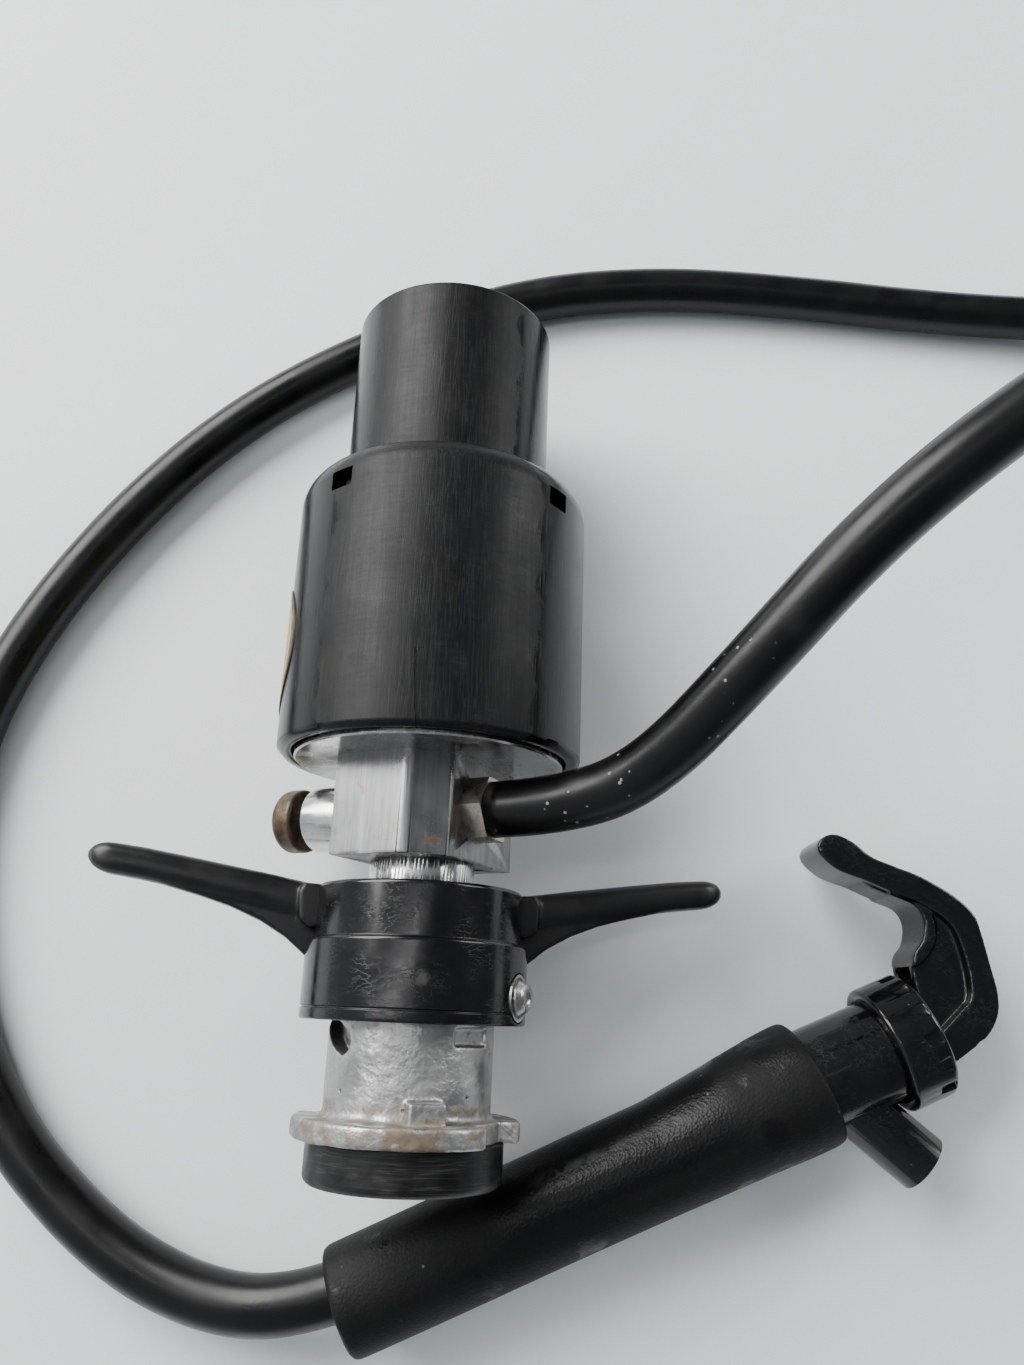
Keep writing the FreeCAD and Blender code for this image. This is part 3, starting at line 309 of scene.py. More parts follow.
GRAIN = grain_group()
SCRATCHES = scratch_group(GRAIN)
STAINS = stain_group(GRAIN)
EDGES = edge_group(GRAIN)
SPECKS = speck_group(GRAIN)


class Finish:
    """A material being built: its node tree, shader and object coordinates."""

    def __init__(self, name, roughness, metallic=0.0, **fixed):
        self.material = bpy.data.materials.new(name)
        self.material.use_nodes = True
        self.tree = self.material.node_tree
        self.shader = self.tree.nodes["Principled BSDF"]
        self.shader.inputs["Roughness"].default_value = roughness
        self.shader.inputs["Metallic"].default_value = metallic
        for key, value in fixed.items():
            self.shader.inputs[key.replace("_", " ")].default_value = value
        self.position = add(self.tree, "TexCoord").outputs["Object"]
        self.normal = None

    def grain(self, **inputs):
        return use(self.tree, GRAIN, {"Position": self.position, **named(inputs)})

    def scratches(self, **inputs):
        return use(self.tree, SCRATCHES, {"Position": self.position, **named(inputs)})

    def stains(self, **inputs):
        return use(self.tree, STAINS, {"Position": self.position, **named(inputs)})

    def edges(self, **inputs):
        return use(self.tree, EDGES, {"Position": self.position, **named(inputs)})

    def specks(self, **inputs):
        return use(self.tree, SPECKS, {"Position": self.position, **named(inputs)})

    def axis(self, letter):
        return add(self.tree, "SeparateXYZ", {0: self.position}).outputs[letter]

    def within(self, value, low, high, soft):
        """1 between low and high, fading out over soft at each end."""
        rise = spread(self.tree, value, low - soft, low + soft)
        fall = spread(self.tree, value, high - soft, high + soft, 1.0, 0.0)
        return self.times(rise, fall)

    def times(self, first, second):
        return math_node(self.tree, "MULTIPLY", first, second)

    def plus(self, first, second):
        return math_node(self.tree, "ADD", first, second, clamp=True)

    def bump(self, height, distance, strength=1.0):
        inputs = {"Height": height, "Distance": distance, "Strength": strength}
        if self.normal is not None:
            inputs["Normal"] = self.normal
        self.normal = add(self.tree, "Bump", inputs).outputs["Normal"]

    def done(self, colour, roughness=None):
        self.tree.links.new(colour, self.shader.inputs["Base Color"])
        if roughness is not None:
            self.tree.links.new(roughness, self.shader.inputs["Roughness"])
        if self.normal is not None:
            self.tree.links.new(self.normal, self.shader.inputs["Normal"])
        return self.material


def named(inputs):
    return {key.replace("_", " ").title(): value for key, value in inputs.items()}


ALONG = (1.0, 0.04, 1.0)
ACROSS = (0.06, 1.0, 0.06)


# ------------------------------------------------------------ plastics
def scuffed_black(name, dull, line, crack=False):
    """Black moulded plastic, rubbed dull along the pump with fine hand scratches."""
    f = Finish(name, 0.3, Specular_IOR_Level=0.2)
    t = f.tree
    rubbed = f.grain(stretch=ALONG, size=0.0016, detail=5.0, roughness=0.6)
    cross = f.grain(stretch=(0.09, 1.0, 0.09), size=0.0006, detail=3.0)
    patches = f.grain(size=0.011, detail=4.0, roughness=0.55)
    front = spread(t, f.axis("Z"), dull[0], dull[1])
    ragged = math_node(t, "ADD", front, spread(t, patches, 0.3, 0.7, -0.22, 0.22))
    worn = spread(t, ragged, 0.35, 0.65)
    streaks = f.scratches(stretch=ALONG, size=0.0007, patch_size=0.014, amount=0.62)
    hatch = f.scratches(stretch=ACROSS, size=0.0005, patch_size=0.006, amount=0.34)
    edge = f.edges(width=0.0005, amount=0.5)
    film = f.times(worn, spread(t, rubbed, 0.3, 0.72, 0.7, 1.0))
    colour = tint(t, film, rgb(0.0016, 0.0017, 0.002), rgb(*line))
    marks = f.times(f.plus(f.times(streaks, 0.26), f.times(hatch, 0.24)), f.plus(worn, 0.1))
    colour = tint(t, marks, colour, rgb(0.035, 0.036, 0.038))
    brown = f.times(f.stains(size=0.016, cover=0.32), f.times(worn, 0.3))
    colour = tint(t, brown, colour, rgb(0.02, 0.016, 0.012))
    nicks = f.specks(spacing=0.006, speck_size=0.05, amount=0.12)
    colour = tint(t, f.times(nicks, 0.4), colour, rgb(0.15, 0.15, 0.145))
    colour = tint(t, f.times(edge, 0.4), colour, rgb(0.05, 0.05, 0.049))
    gloss = spread(t, patches, 0.3, 0.7, 0.17, 0.24)
    rough = math_node(t, "ADD", gloss, f.times(film, spread(t, cross, 0.3, 0.7, 0.24, 0.3)))
    rough = math_node(t, "ADD", rough, f.times(marks, 0.12))
    f.bump(rubbed, 0.00004, 0.3)
    f.bump(f.times(cross, worn), 0.00002, 0.4)
    f.bump(f.plus(streaks, nicks), -0.00002, 0.4)
    if crack:
        x = f.axis("X")
        y = f.axis("Y")
        path = spread(t, y, -0.017, 0.005, -0.0001, -0.0017, smooth=False)
        wander = math_node(t, "MULTIPLY", math_node(t, "SUBTRACT", f.grain(size=0.003), 0.5),
                           0.0005)
        off = math_node(t, "SUBTRACT", x, math_node(t, "ADD", path, wander))
        near = spread(t, math_node(t, "ABSOLUTE", off), 0.00016, 0.00036, 1.0, 0.0)
        span = f.within(y, -0.0185, 0.0025, 0.001)
        split = f.times(f.times(near, span), spread(t, f.axis("Z"), 0.06, 0.07))
        colour = tint(t, split, colour, rgb(0.0005, 0.0005, 0.0005))
        f.bump(split, -0.0004, 1.0)
    return f.done(colour, rough)


def gloss_black(name, roughness=0.16, worn_spot=None):
    """Glossy black plastic with light scuffs, faint swirls and rubbed edges."""
    f = Finish(name, roughness, Specular_IOR_Level=0.45)
    t = f.tree
    cloud = f.grain(size=0.009, detail=5.0, roughness=0.6)
    fine = f.grain(size=0.0005, detail=2.0)
    swirl = f.scratches(stretch=(0.5, 1.0, 0.2), size=0.0011, patch_size=0.008, amount=0.45)
    scuff = f.stains(size=0.006, cover=0.24, softness=0.12)
    edge = f.edges(width=0.0007, amount=0.55)
    colour = tint(t, spread(t, cloud, 0.3, 0.7), rgb(0.0022, 0.0022, 0.0027),
                  rgb(0.004, 0.004, 0.0046))
    colour = tint(t, f.times(swirl, 0.14), colour, rgb(0.05, 0.05, 0.053))
    colour = tint(t, f.times(scuff, 0.12), colour, rgb(0.035, 0.037, 0.04))
    nicks = f.specks(spacing=0.007, speck_size=0.045, amount=0.14)
    colour = tint(t, f.times(nicks, 0.5), colour, rgb(0.12, 0.12, 0.12))
    colour = tint(t, f.times(edge, 0.3), colour, rgb(0.05, 0.05, 0.05))
    rough = spread(t, cloud, 0.3, 0.7, roughness - 0.05, roughness + 0.06)
    rough = math_node(t, "ADD", rough, f.times(f.plus(scuff, swirl), 0.14))
    rough = math_node(t, "ADD", rough, f.times(edge, 0.15))
    if worn_spot is not None:
        gap = add(t, "VectorMath", {0: f.position, 1: worn_spot}, operation="DISTANCE")
        ragged = math_node(t, "ADD", gap.outputs["Value"],
                           spread(t, f.grain(size=0.0015), 0.3, 0.7, -0.0004, 0.0004))
        rub = spread(t, ragged, 0.0004, 0.0021, 1.0, 0.0)
        colour = tint(t, f.times(rub, 0.5), colour, rgb(0.07, 0.07, 0.068))
        rough = math_node(t, "ADD", rough, f.times(rub, 0.25))
    f.bump(cloud, 0.00018, 0.25)
    f.bump(fine, 0.00001, 0.3)
    f.bump(f.plus(swirl, nicks), -0.00002, 0.4)
    return f.done(colour, rough)


def grained_black(name):
    """Matte moulded plastic with a fine sandy grain, as on the wings."""
    f = Finish(name, 0.5, Specular_IOR_Level=0.4)
    t = f.tree
    sand = f.grain(size=0.00032, detail=2.0)
    cloud = f.grain(size=0.008, detail=4.0)
    edge = f.edges(width=0.0009, amount=0.6)
    colour = tint(t, spread(t, cloud, 0.3, 0.7), rgb(0.0035, 0.0035, 0.004),
                  rgb(0.007, 0.007, 0.0075))
    colour = tint(t, f.times(spread(t, sand, 0.55, 0.75), 0.25), colour, rgb(0.03, 0.03, 0.03))
    colour = tint(t, f.times(edge, 0.25), colour, rgb(0.04, 0.04, 0.04))
    rough = spread(t, cloud, 0.3, 0.7, 0.3, 0.4)
    f.bump(sand, 0.00005, 0.5)
    f.bump(cloud, 0.0002, 0.3)
    return f.done(colour, rough)


def inner_plastic():
    f = Finish("inner_plastic", 0.45)
    cloud = f.grain(size=0.004, detail=4.0)
    colour = tint(f.tree, cloud, rgb(0.01, 0.01, 0.011), rgb(0.03, 0.03, 0.03))
    f.bump(f.grain(size=0.0004), 0.00003, 0.5)
    return f.done(colour, spread(f.tree, cloud, 0.3, 0.7, 0.35, 0.55))


def cylinder_plastic():
    f = Finish("cylinder_plastic", 0.35)
    cloud = f.grain(stretch=ALONG, size=0.002, detail=4.0)
    colour = tint(f.tree, cloud, rgb(0.55, 0.55, 0.52), rgb(0.72, 0.72, 0.69))
    f.bump(cloud, 0.00004, 0.5)
    return f.done(colour, spread(f.tree, cloud, 0.3, 0.7, 0.25, 0.45))


# ------------------------------------------------------------ metals
def brushed_block():
    """Extruded aluminium bar, brushed along the pump, with polished rounded corners."""
    f = Finish("brushed_aluminium", 0.3, 1.0)
    t = f.tree
    brush = f.grain(stretch=(1.0, 0.012, 1.0), size=0.00035, detail=5.0, roughness=0.65)
    broad = f.grain(stretch=(1.0, 0.05, 1.0), size=0.0022, detail=3.0)
    cloud = f.grain(size=0.007, detail=5.0)
    colour = tint(t, spread(t, broad, 0.3, 0.7), rgb(0.21, 0.215, 0.22), rgb(0.29, 0.29, 0.29))
    lines = f.scratches(stretch=(1.0, 0.02, 1.0), size=0.0009, patch_size=0.01, amount=0.45)
    colour = tint(t, f.times(lines, 0.22), colour, rgb(0.5, 0.5, 0.5))
    dark = f.scratches(stretch=(1.0, 0.03, 1.0), size=0.0014, patch_size=0.012, amount=0.4)
    colour = tint(t, f.times(dark, 0.3), colour, rgb(0.09, 0.088, 0.085))
    dirt = f.times(f.stains(size=0.005, cover=0.33), 0.35)
    colour = tint(t, dirt, colour, rgb(0.2, 0.16, 0.11))
    spot = add(t, "VectorMath", {0: f.position, 1: (0.0035, -0.0362, 0.0565)},
               operation="DISTANCE").outputs["Value"]
    ragged = math_node(t, "ADD", spot, spread(t, f.grain(size=0.0016), 0.3, 0.7, -0.001, 0.001))
    brown = spread(t, ragged, 0.0008, 0.0026, 1.0, 0.0)
    colour = tint(t, f.times(brown, 0.75), colour, rgb(0.16, 0.1, 0.035))
    low = f.within(f.axis("Y"), -0.0395, -0.0389, 0.0004)
    burr = f.times(low, spread(t, f.grain(size=0.004, detail=4.0), 0.35, 0.6))
    colour = tint(t, f.times(burr, 0.55), colour, rgb(0.07, 0.06, 0.05))
    rough = spread(t, cloud, 0.3, 0.7, 0.26, 0.38)
    rough = math_node(t, "ADD", rough, f.times(f.plus(dirt, brown), 0.3))
    f.bump(brush, 0.00003, 0.35)
    f.bump(f.plus(lines, dark), -0.00002, 0.3)
    f.bump(cloud, 0.00008, 0.12)
    f.bump(burr, -0.0001, 0.3)
    return f.done(colour, rough)


def cast_metal():
    """Sand-cast aluminium rubbed bright, with brown dirt held in its hollows."""
    f = Finish("cast_aluminium", 0.3, 1.0)
    t = f.tree
    peel = f.grain(size=0.0021, detail=3.0, roughness=0.5)
    fine = f.grain(size=0.0007, detail=3.0)
    cloud = f.grain(size=0.009, detail=5.0)
    colour = tint(t, spread(t, cloud, 0.3, 0.7), rgb(0.36, 0.36, 0.355), rgb(0.52, 0.52, 0.51))
    y = f.axis("Y")
    rim = f.within(y, -0.1012, -0.0925, 0.001)
    grime = f.times(f.stains(size=0.005, cover=0.62, softness=0.14), rim)
    under = f.times(f.stains(size=0.0045, cover=0.42), f.within(y, -0.0825, -0.072, 0.001))
    light = f.times(f.stains(size=0.003, cover=0.25), 0.35)
    x = f.axis("X")
    ramp = f.times(f.within(x, -0.002, 0.0095, 0.0012), f.within(y, -0.1025, -0.0945, 0.001))
    light = f.plus(light, f.times(f.stains(size=0.0035, cover=0.8), f.times(ramp, 0.8)))
    brown = tint(t, f.grain(size=0.002), rgb(0.13, 0.105, 0.07), rgb(0.24, 0.2, 0.15))
    dirt = f.plus(f.plus(f.times(grime, 0.8), f.times(under, 0.5)), light)
    colour = tint(t, dirt, colour, brown)
    pits = f.specks(spacing=0.0045, speck_size=0.13, amount=0.22)
    colour = tint(t, f.times(pits, 0.8), colour, rgb(0.06, 0.055, 0.05))
    edge = f.edges(width=0.0012, amount=0.9)
    colour = tint(t, edge, colour, rgb(0.7, 0.69, 0.67))
    rough = spread(t, cloud, 0.3, 0.7, 0.32, 0.46)
    rough = math_node(t, "ADD", rough, f.times(dirt, 0.3))
    metal = math_node(t, "SUBTRACT", 1.0, f.times(dirt, 0.45))
    t.links.new(metal, f.shader.inputs["Metallic"])
    f.bump(peel, 0.0005, 0.5)
    f.bump(fine, 0.00012, 0.5)
    f.bump(pits, -0.0003, 0.8)
    return f.done(colour, rough)


def machined(name, light, dark, roughness, ring=0.0, stain=0.25):
    """Turned metal with fine rings round the pump and dull fingerprints."""
    f = Finish(name, roughness, 1.0)
    t = f.tree
    cloud = f.grain(size=0.006, detail=5.0)
    rings = f.grain(stretch=(0.05, 1.0, 0.05), size=0.0005, detail=3.0)
    colour = tint(t, spread(t, cloud, 0.3, 0.7), rgb(*dark), rgb(*light))
    marks = f.scratches(stretch=(1.0, 0.4, 0.3), size=0.0012, patch_size=0.006, amount=0.5)
    colour = tint(t, f.times(marks, 0.3), colour, rgb(0.85, 0.85, 0.85))
    dull = f.times(f.stains(size=0.004, cover=stain), 0.5)
    colour = tint(t, dull, colour, rgb(dark[0] * 0.45, dark[1] * 0.42, dark[2] * 0.36))
    rough = spread(t, cloud, 0.3, 0.7, roughness - 0.06, roughness + 0.07)
    rough = math_node(t, "ADD", rough, f.times(dull, 0.4))
    f.bump(rings, 0.00004, ring)
    f.bump(cloud, 0.0001, 0.25)
    return f.done(colour, rough)


def brown_metal():
    """Brass button gone brown, paler where fingers rub it."""
    f = Finish("browned_brass", 0.42, 0.75)
    t = f.tree
    cloud = f.grain(size=0.005, detail=6.0, roughness=0.6)
    fine = f.grain(size=0.0009, detail=4.0)
    colour = tint(t, spread(t, cloud, 0.32, 0.68), rgb(0.06, 0.044, 0.031),
                  rgb(0.15, 0.112, 0.076))
    dark = f.stains(size=0.003, cover=0.35)
    colour = tint(t, f.times(dark, 0.6), colour, rgb(0.045, 0.034, 0.024))
    edge = f.edges(width=0.0009, amount=0.7)
    colour = tint(t, f.times(edge, 0.6), colour, rgb(0.26, 0.2, 0.14))
    rough = spread(t, fine, 0.3, 0.7, 0.36, 0.54)
    f.bump(fine, 0.00012, 0.5)
    f.bump(cloud, 0.0002, 0.4)
    return f.done(colour, rough)


# ------------------------------------------------------------ soft and moulded goods
def seal_rubber():
    f = Finish("seal_rubber", 0.42, Specular_IOR_Level=0.32)
    t = f.tree
    cloud = f.grain(size=0.006, detail=5.0)
    rings = f.grain(stretch=(0.05, 1.0, 0.05), size=0.0014, detail=3.0)
    fine = f.grain(size=0.0005, detail=3.0)
    colour = tint(t, spread(t, cloud, 0.3, 0.7), rgb(0.0035, 0.0035, 0.004), rgb(0.008, 0.008, 0.008))
    dust = f.stains(size=0.005, cover=0.3)
    colour = tint(t, f.times(dust, 0.2), colour, rgb(0.045, 0.044, 0.041))
    marks = f.scratches(stretch=ACROSS, size=0.0012, patch_size=0.007, amount=0.5)
    colour = tint(t, f.times(marks, 0.2), colour, rgb(0.12, 0.12, 0.115))
    rough = spread(t, cloud, 0.3, 0.7, 0.3, 0.5)
    f.bump(rings, 0.00014, 0.5)
    f.bump(fine, 0.00005, 0.5)
    return f.done(colour, rough)


def hose_vinyl():
    """Soft black hose with a waxy sheen, rubbed lines and chalky nicks."""
    f = Finish("hose_vinyl", 0.34, Specular_IOR_Level=0.32)
    t = f.tree
    cloud = f.grain(size=0.012, detail=5.0)
    fine = f.grain(size=0.0006, detail=3.0)
    colour = tint(t, spread(t, cloud, 0.3, 0.7), rgb(0.0014, 0.0014, 0.0017),
                  rgb(0.0028, 0.0028, 0.0031))
    haze = f.stains(size=0.018, cover=0.35, softness=0.2)
    colour = tint(t, f.times(haze, 0.16), colour, rgb(0.035, 0.036, 0.038))
    x = f.axis("X")
    worn = f.within(x, 0.024, 0.048, 0.004)
    worn = f.plus(worn, f.within(x, 0.062, 0.072, 0.002))
    near = f.times(spread(t, f.axis("Z"), 0.05, 0.06), worn)
    chalk = f.specks(spacing=0.0022, speck_size=0.22, amount=0.3)
    chalk = f.times(chalk, near)
    nicks = f.specks(spacing=0.008, speck_size=0.06, amount=0.22)
    colour = tint(t, f.times(f.plus(chalk, f.times(nicks, 0.6)), 0.6), colour,
                  rgb(0.42, 0.42, 0.4))
    rough = spread(t, cloud, 0.3, 0.7, 0.26, 0.38)
    rough = math_node(t, "ADD", rough, f.times(haze, 0.1))
    f.bump(cloud, 0.0003, 0.3)
    f.bump(fine, 0.00003, 0.5)
    f.bump(chalk, 0.00008, 0.5)
    return f.done(colour, rough)


def grip_lines(f):
    """Distances along the faucet's axis and across it, seen from above."""
    x = math_node(f.tree, "SUBTRACT", f.axis("X"), FAUCET_ORIGIN.x * MM)
    y = math_node(f.tree, "SUBTRACT", f.axis("Y"), FAUCET_ORIGIN.y * MM)
    sine = math.sin(FAUCET_TURN)
    cosine = math.cos(FAUCET_TURN)
    along = math_node(f.tree, "ADD", f.times(x, sine), f.times(y, cosine))
    across = math_node(f.tree, "SUBTRACT", f.times(x, cosine), f.times(y, sine))
    return along, across


def grip_foam():
    """Closed-cell foam sleeve, matte, with a glossy band along its top whose colour is painted darker
    as a dark reflection, and a painted highlight streak in that band.
    """
    f = Finish("grip_foam", 0.62, Specular_IOR_Level=0.22)
    t = f.tree
    cells = add(t, "TexVoronoi", {"Vector": f.position, "Scale": 1500.0}).outputs["Distance"]
    cloud = f.grain(size=0.01, detail=5.0)
    fine = f.grain(size=0.0007, detail=4.0)
    colour = tint(t, spread(t, cloud, 0.3, 0.7), rgb(0.0022, 0.0023, 0.0026),
                  rgb(0.0044, 0.0045, 0.0049))
    colour = tint(t, f.times(spread(t, fine, 0.5, 0.75), 0.3), colour, rgb(0.014, 0.014, 0.014))
    shine = f.stains(size=0.017, cover=0.4, softness=0.1)
    colour = tint(t, f.times(shine, 0.6), colour, rgb(0.004, 0.004, 0.0044))
    along, across = grip_lines(f)
    # Glossy band along the top: lower roughness, and a darker colour painted in as the reflection of
    # the dark pump.
    glossy = f.times(f.within(along, -0.083, -0.022, 0.006), f.within(across, -0.016, 0.004, 0.003))
    colour = tint(t, f.times(glossy, 0.7), colour, rgb(0.0015, 0.0016, 0.002))
    # The rub mask here is a painted highlight: a narrow pale streak along the glossy band, standing
    # for a strip lamp's reflection.
    rub = f.times(f.within(along, -0.07, -0.033, 0.004), f.within(across, -0.0068, -0.0052, 0.0008))
    rub = f.times(rub, spread(t, f.grain(size=0.003, detail=4.0), 0.3, 0.5))
    colour = tint(t, f.times(rub, 0.3), colour, rgb(0.1, 0.102, 0.105))
    dust = f.specks(spacing=0.005, speck_size=0.08, amount=0.3)
    colour = tint(t, f.times(dust, 0.5), colour, rgb(0.2, 0.2, 0.19))
    rough = spread(t, f.plus(shine, glossy), 0.0, 1.0, 0.6, 0.34)
    f.bump(cells, 0.00012, 0.5)
    f.bump(cloud, 0.0006, 0.35)
    return f.done(colour, rough)


LABEL_MIDDLE = 0.0124


def label_gold():
    """Gold foil label with a dark border and rubbed scratches."""
    f = Finish("label_gold", 0.38, 0.55)
    t = f.tree
    y = f.axis("Y")
    z = f.axis("Z")
    along = math_node(t, "SUBTRACT", y, LABEL_MIDDLE)
    upwards = math_node(t, "SUBTRACT", z, AXIS_HEIGHT * MM)
    gap = math_node(t, "SQRT", math_node(t, "ADD", math_node(t, "POWER", along, 2.0),
                                         math_node(t, "POWER", upwards, 2.0)))
    cloud = f.grain(size=0.003, detail=5.0)
    colour = tint(t, spread(t, cloud, 0.3, 0.7), rgb(0.5, 0.36, 0.1), rgb(0.74, 0.58, 0.24))
    border = f.plus(spread(t, gap, 0.0158, 0.0161), f.within(gap, 0.0138, 0.0145, 0.0001))
    colour = tint(t, f.times(border, 0.9), colour, rgb(0.02, 0.018, 0.015))
    marks = f.scratches(stretch=(1.0, 0.3, 1.0), size=0.0012, patch_size=0.006, amount=0.5)
    colour = tint(t, f.times(marks, 0.4), colour, rgb(0.1, 0.08, 0.04))
    rough = spread(t, cloud, 0.3, 0.7, 0.28, 0.5)
    f.bump(cloud, 0.00006, 0.5)
    return f.done(colour, rough)


def pale_floor():
    f = Finish("pale_floor", 0.55, Specular_IOR_Level=0.3)
    cloud = f.grain(size=0.12, detail=3.0)
    colour = tint(f.tree, cloud, rgb(0.86, 0.885, 0.91), rgb(0.89, 0.91, 0.93))
    f.bump(f.grain(size=0.0012), 0.00004, 0.3)
    return f.done(colour)


housing_look = scuffed_black("housing_black", (0.062, 0.0705), (0.0042, 0.0046, 0.0052), crack=True)
knob_look = scuffed_black("knob_black", (0.052, 0.062), (0.004, 0.0042, 0.0047))
collar_look = gloss_black("collar_gloss", 0.17, worn_spot=(0.0035, -0.0665, 0.0637))
wing_look = grained_black("wing_matte")
faucet_look = gloss_black("faucet_gloss", 0.14)
inside_look = inner_plastic()
cylinder_look = cylinder_plastic()
block_look = brushed_block()
cast_look = cast_metal()
disc_look = machined("turned_aluminium", (0.44, 0.44, 0.435), (0.33, 0.33, 0.325), 0.24, 0.3)
neck_look = machined("polished_metal", (0.8, 0.8, 0.79), (0.62, 0.62, 0.61), 0.2, 0.12, 0.12)
barrel_look = machined("relief_aluminium", (0.74, 0.735, 0.72), (0.58, 0.575, 0.56), 0.24, 0.4)
steel_look = machined("bright_steel", (0.46, 0.455, 0.445), (0.34, 0.335, 0.325), 0.3, 0.0)
nickel_look = machined("dull_nickel", (0.6, 0.555, 0.48), (0.4, 0.365, 0.3), 0.28, 0.0, 0.35)
button_look = brown_metal()
rubber_look = seal_rubber()
hose_look = hose_vinyl()
grip_look = grip_foam()
label_look = label_gold()

LOOKS = {
    "pump_housing": housing_look, "guide_ring": inside_look, "base_plate": disc_look,
    "plate_screws": steel_look, "base_gasket": rubber_look, "pump_cylinder": cylinder_look,
    "cylinder_cap": cylinder_look, "plunger_knob": knob_look, "piston_head": cylinder_look,
    "piston_seal": rubber_look, "piston_rod": steel_look, "piston_screw": steel_look,
    "return_spring": steel_look, "valve_block": block_look, "check_ball": steel_look,
    "check_spring": steel_look, "hose_nut": nickel_look, "hose_barb": nickel_look,
    "relief_barrel": barrel_look, "relief_button": button_look, "relief_seal": rubber_look,
    "relief_spring": steel_look, "probe_tube": neck_look, "probe_pin": steel_look,
    "probe_ball": steel_look, "probe_seal": rubber_look, "retaining_clip": steel_look,
    "wing_collar": collar_look, "collar_screws": steel_look, "collar_washers": steel_look,
    "coupler_body": cast_look, "bottom_seal": rubber_look, "label_plate": label_look,
    "hose": hose_look, "hose_end": hose_look, "grip_sleeve": grip_look,
    "faucet_body": faucet_look, "faucet_cap": faucet_look, "faucet_lever": faucet_look,
    "lever_pin": steel_look, "faucet_stem": cylinder_look, "faucet_seat": rubber_look,
    "faucet_spring": steel_look}


def dress(piece, look):
    piece.data.materials.clear()
    piece.data.materials.append(look)


for node_name, look in LOOKS.items():
    dress(nodes[node_name], look)
dress(hose, hose_look)


# ------------------------------------------------------------ moulded shapes
def pump_spot(radius, azimuth, station, across=0.0):
    """Point round the pump axis; station is counted from the seal's end, across sideways."""
    angle = math.radians(azimuth)
    x = radius * math.sin(angle) + across * math.cos(angle)
    z = AXIS_HEIGHT + radius * math.cos(angle) - across * math.sin(angle)
    return Vector((x, station - PUMP_HALF, z)) * MM


def faucet_spot(side, along, up=0.0):
    """Point in the faucet's own frame: side towards the spout, along its axis."""
    cosine = math.cos(FAUCET_TURN)
    sine = math.sin(FAUCET_TURN)
    return (FAUCET_ORIGIN + Vector((side * cosine + along * sine,
                                    along * cosine - side * sine, up))) * MM


def shade_smooth(mesh):
    mesh.polygons.foreach_set("use_smooth", [True] * len(mesh.polygons))


def new_piece(name, points, faces):
    data = bpy.data.meshes.new(name)
    data.from_pydata([tuple(p) for p in points], [], faces)
    work = bmesh.new()
    work.from_mesh(data)
    bmesh.ops.recalc_face_normals(work, faces=work.faces)
    work.to_mesh(data)
    work.free()
    piece = bpy.data.objects.new(name, data)
    scene_objects.link(piece)
    return piece


def loft(name, rings):
    """Closed skin over rings of equal point counts, capped at both ends."""
    count = len(rings[0])
    faces = []
    for i in range(len(rings) - 1):
        for j in range(count):
            k = (j + 1) % count
            faces.append((i * count + j, i * count + k, (i + 1) * count + k, (i + 1) * count + j))
    faces.append(tuple(range(count)))
    faces.append(tuple(range((len(rings) - 1) * count, len(rings) * count)))
    return new_piece(name, [p for ring in rings for p in ring], faces)


def plank(name, outline, low, high, place):
    """Outline extruded from low to high; place turns (a, b, depth) into a point."""
    return loft(name, [[place(a, b, depth) for a, b in outline] for depth in (low, high)])


def settled(piece, *steps):
    """Adds the modifiers in turn and keeps only the resulting mesh."""
    for kind, values in steps:
        modifier = piece.modifiers.new(kind.lower(), kind)
        for key, value in values.items():
            setattr(modifier, key, value)
    graph = bpy.context.evaluated_depsgraph_get()
    result = bpy.data.meshes.new_from_object(piece.evaluated_get(graph))
    piece.modifiers.clear()
    piece.data = result
    shade_smooth(result)
    return piece


def melted(name, parts, voxel, passes, factor=0.5):
    """Overlapping closed parts become one skin with soft edges."""
    work = bmesh.new()
    for part in parts:
        work.from_mesh(part.data)
        bpy.data.objects.remove(part)
    data = bpy.data.meshes.new(name)
    work.to_mesh(data)
    work.free()
    piece = bpy.data.objects.new(name, data)
    scene_objects.link(piece)
    return settled(piece, ("REMESH", {"mode": "VOXEL", "voxel_size": voxel}),
                   ("SMOOTH", {"iterations": passes, "factor": factor}))


def stand_for(piece, body, node, look):
    dress(piece, look)
    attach(piece, body)
    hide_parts(node)
    return piece


def table_value(table, at):
    """Straight-line reading of (position, value) rows."""
    for (x0, v0), (x1, v1) in zip(table, table[1:]):
        if at <= x1:
            return v0 + (v1 - v0) * (at - x0) / (x1 - x0)
    return table[-1][1]


WING_TOP = [(20, 63.4), (24, 64.1), (38, 66.4), (52, 68.5), (64, 70.2), (78, 71.6)]
WING_LOW = [(20, 54.8), (24, 55.6), (38, 58.3), (52, 60.8), (64, 62.8), (78, 64.6)]
WING_HALF = [(20, 3.9), (30, 3.8), (50, 4.0), (65, 4.2), (78, 4.1)]
WING_GUSSET = [(21, 62), (21, 46.2), (25.4, 47.3), (31, 51.8), (37, 55.2), (44, 58), (51, 60),
               (60, 62.2), (60, 64.5), (40, 63)]
WING_BOSS = [(21, 63.9), (27.4, 64.2), (28.6, 62.5), (28.2, 56), (26, 54.2), (21, 54)]


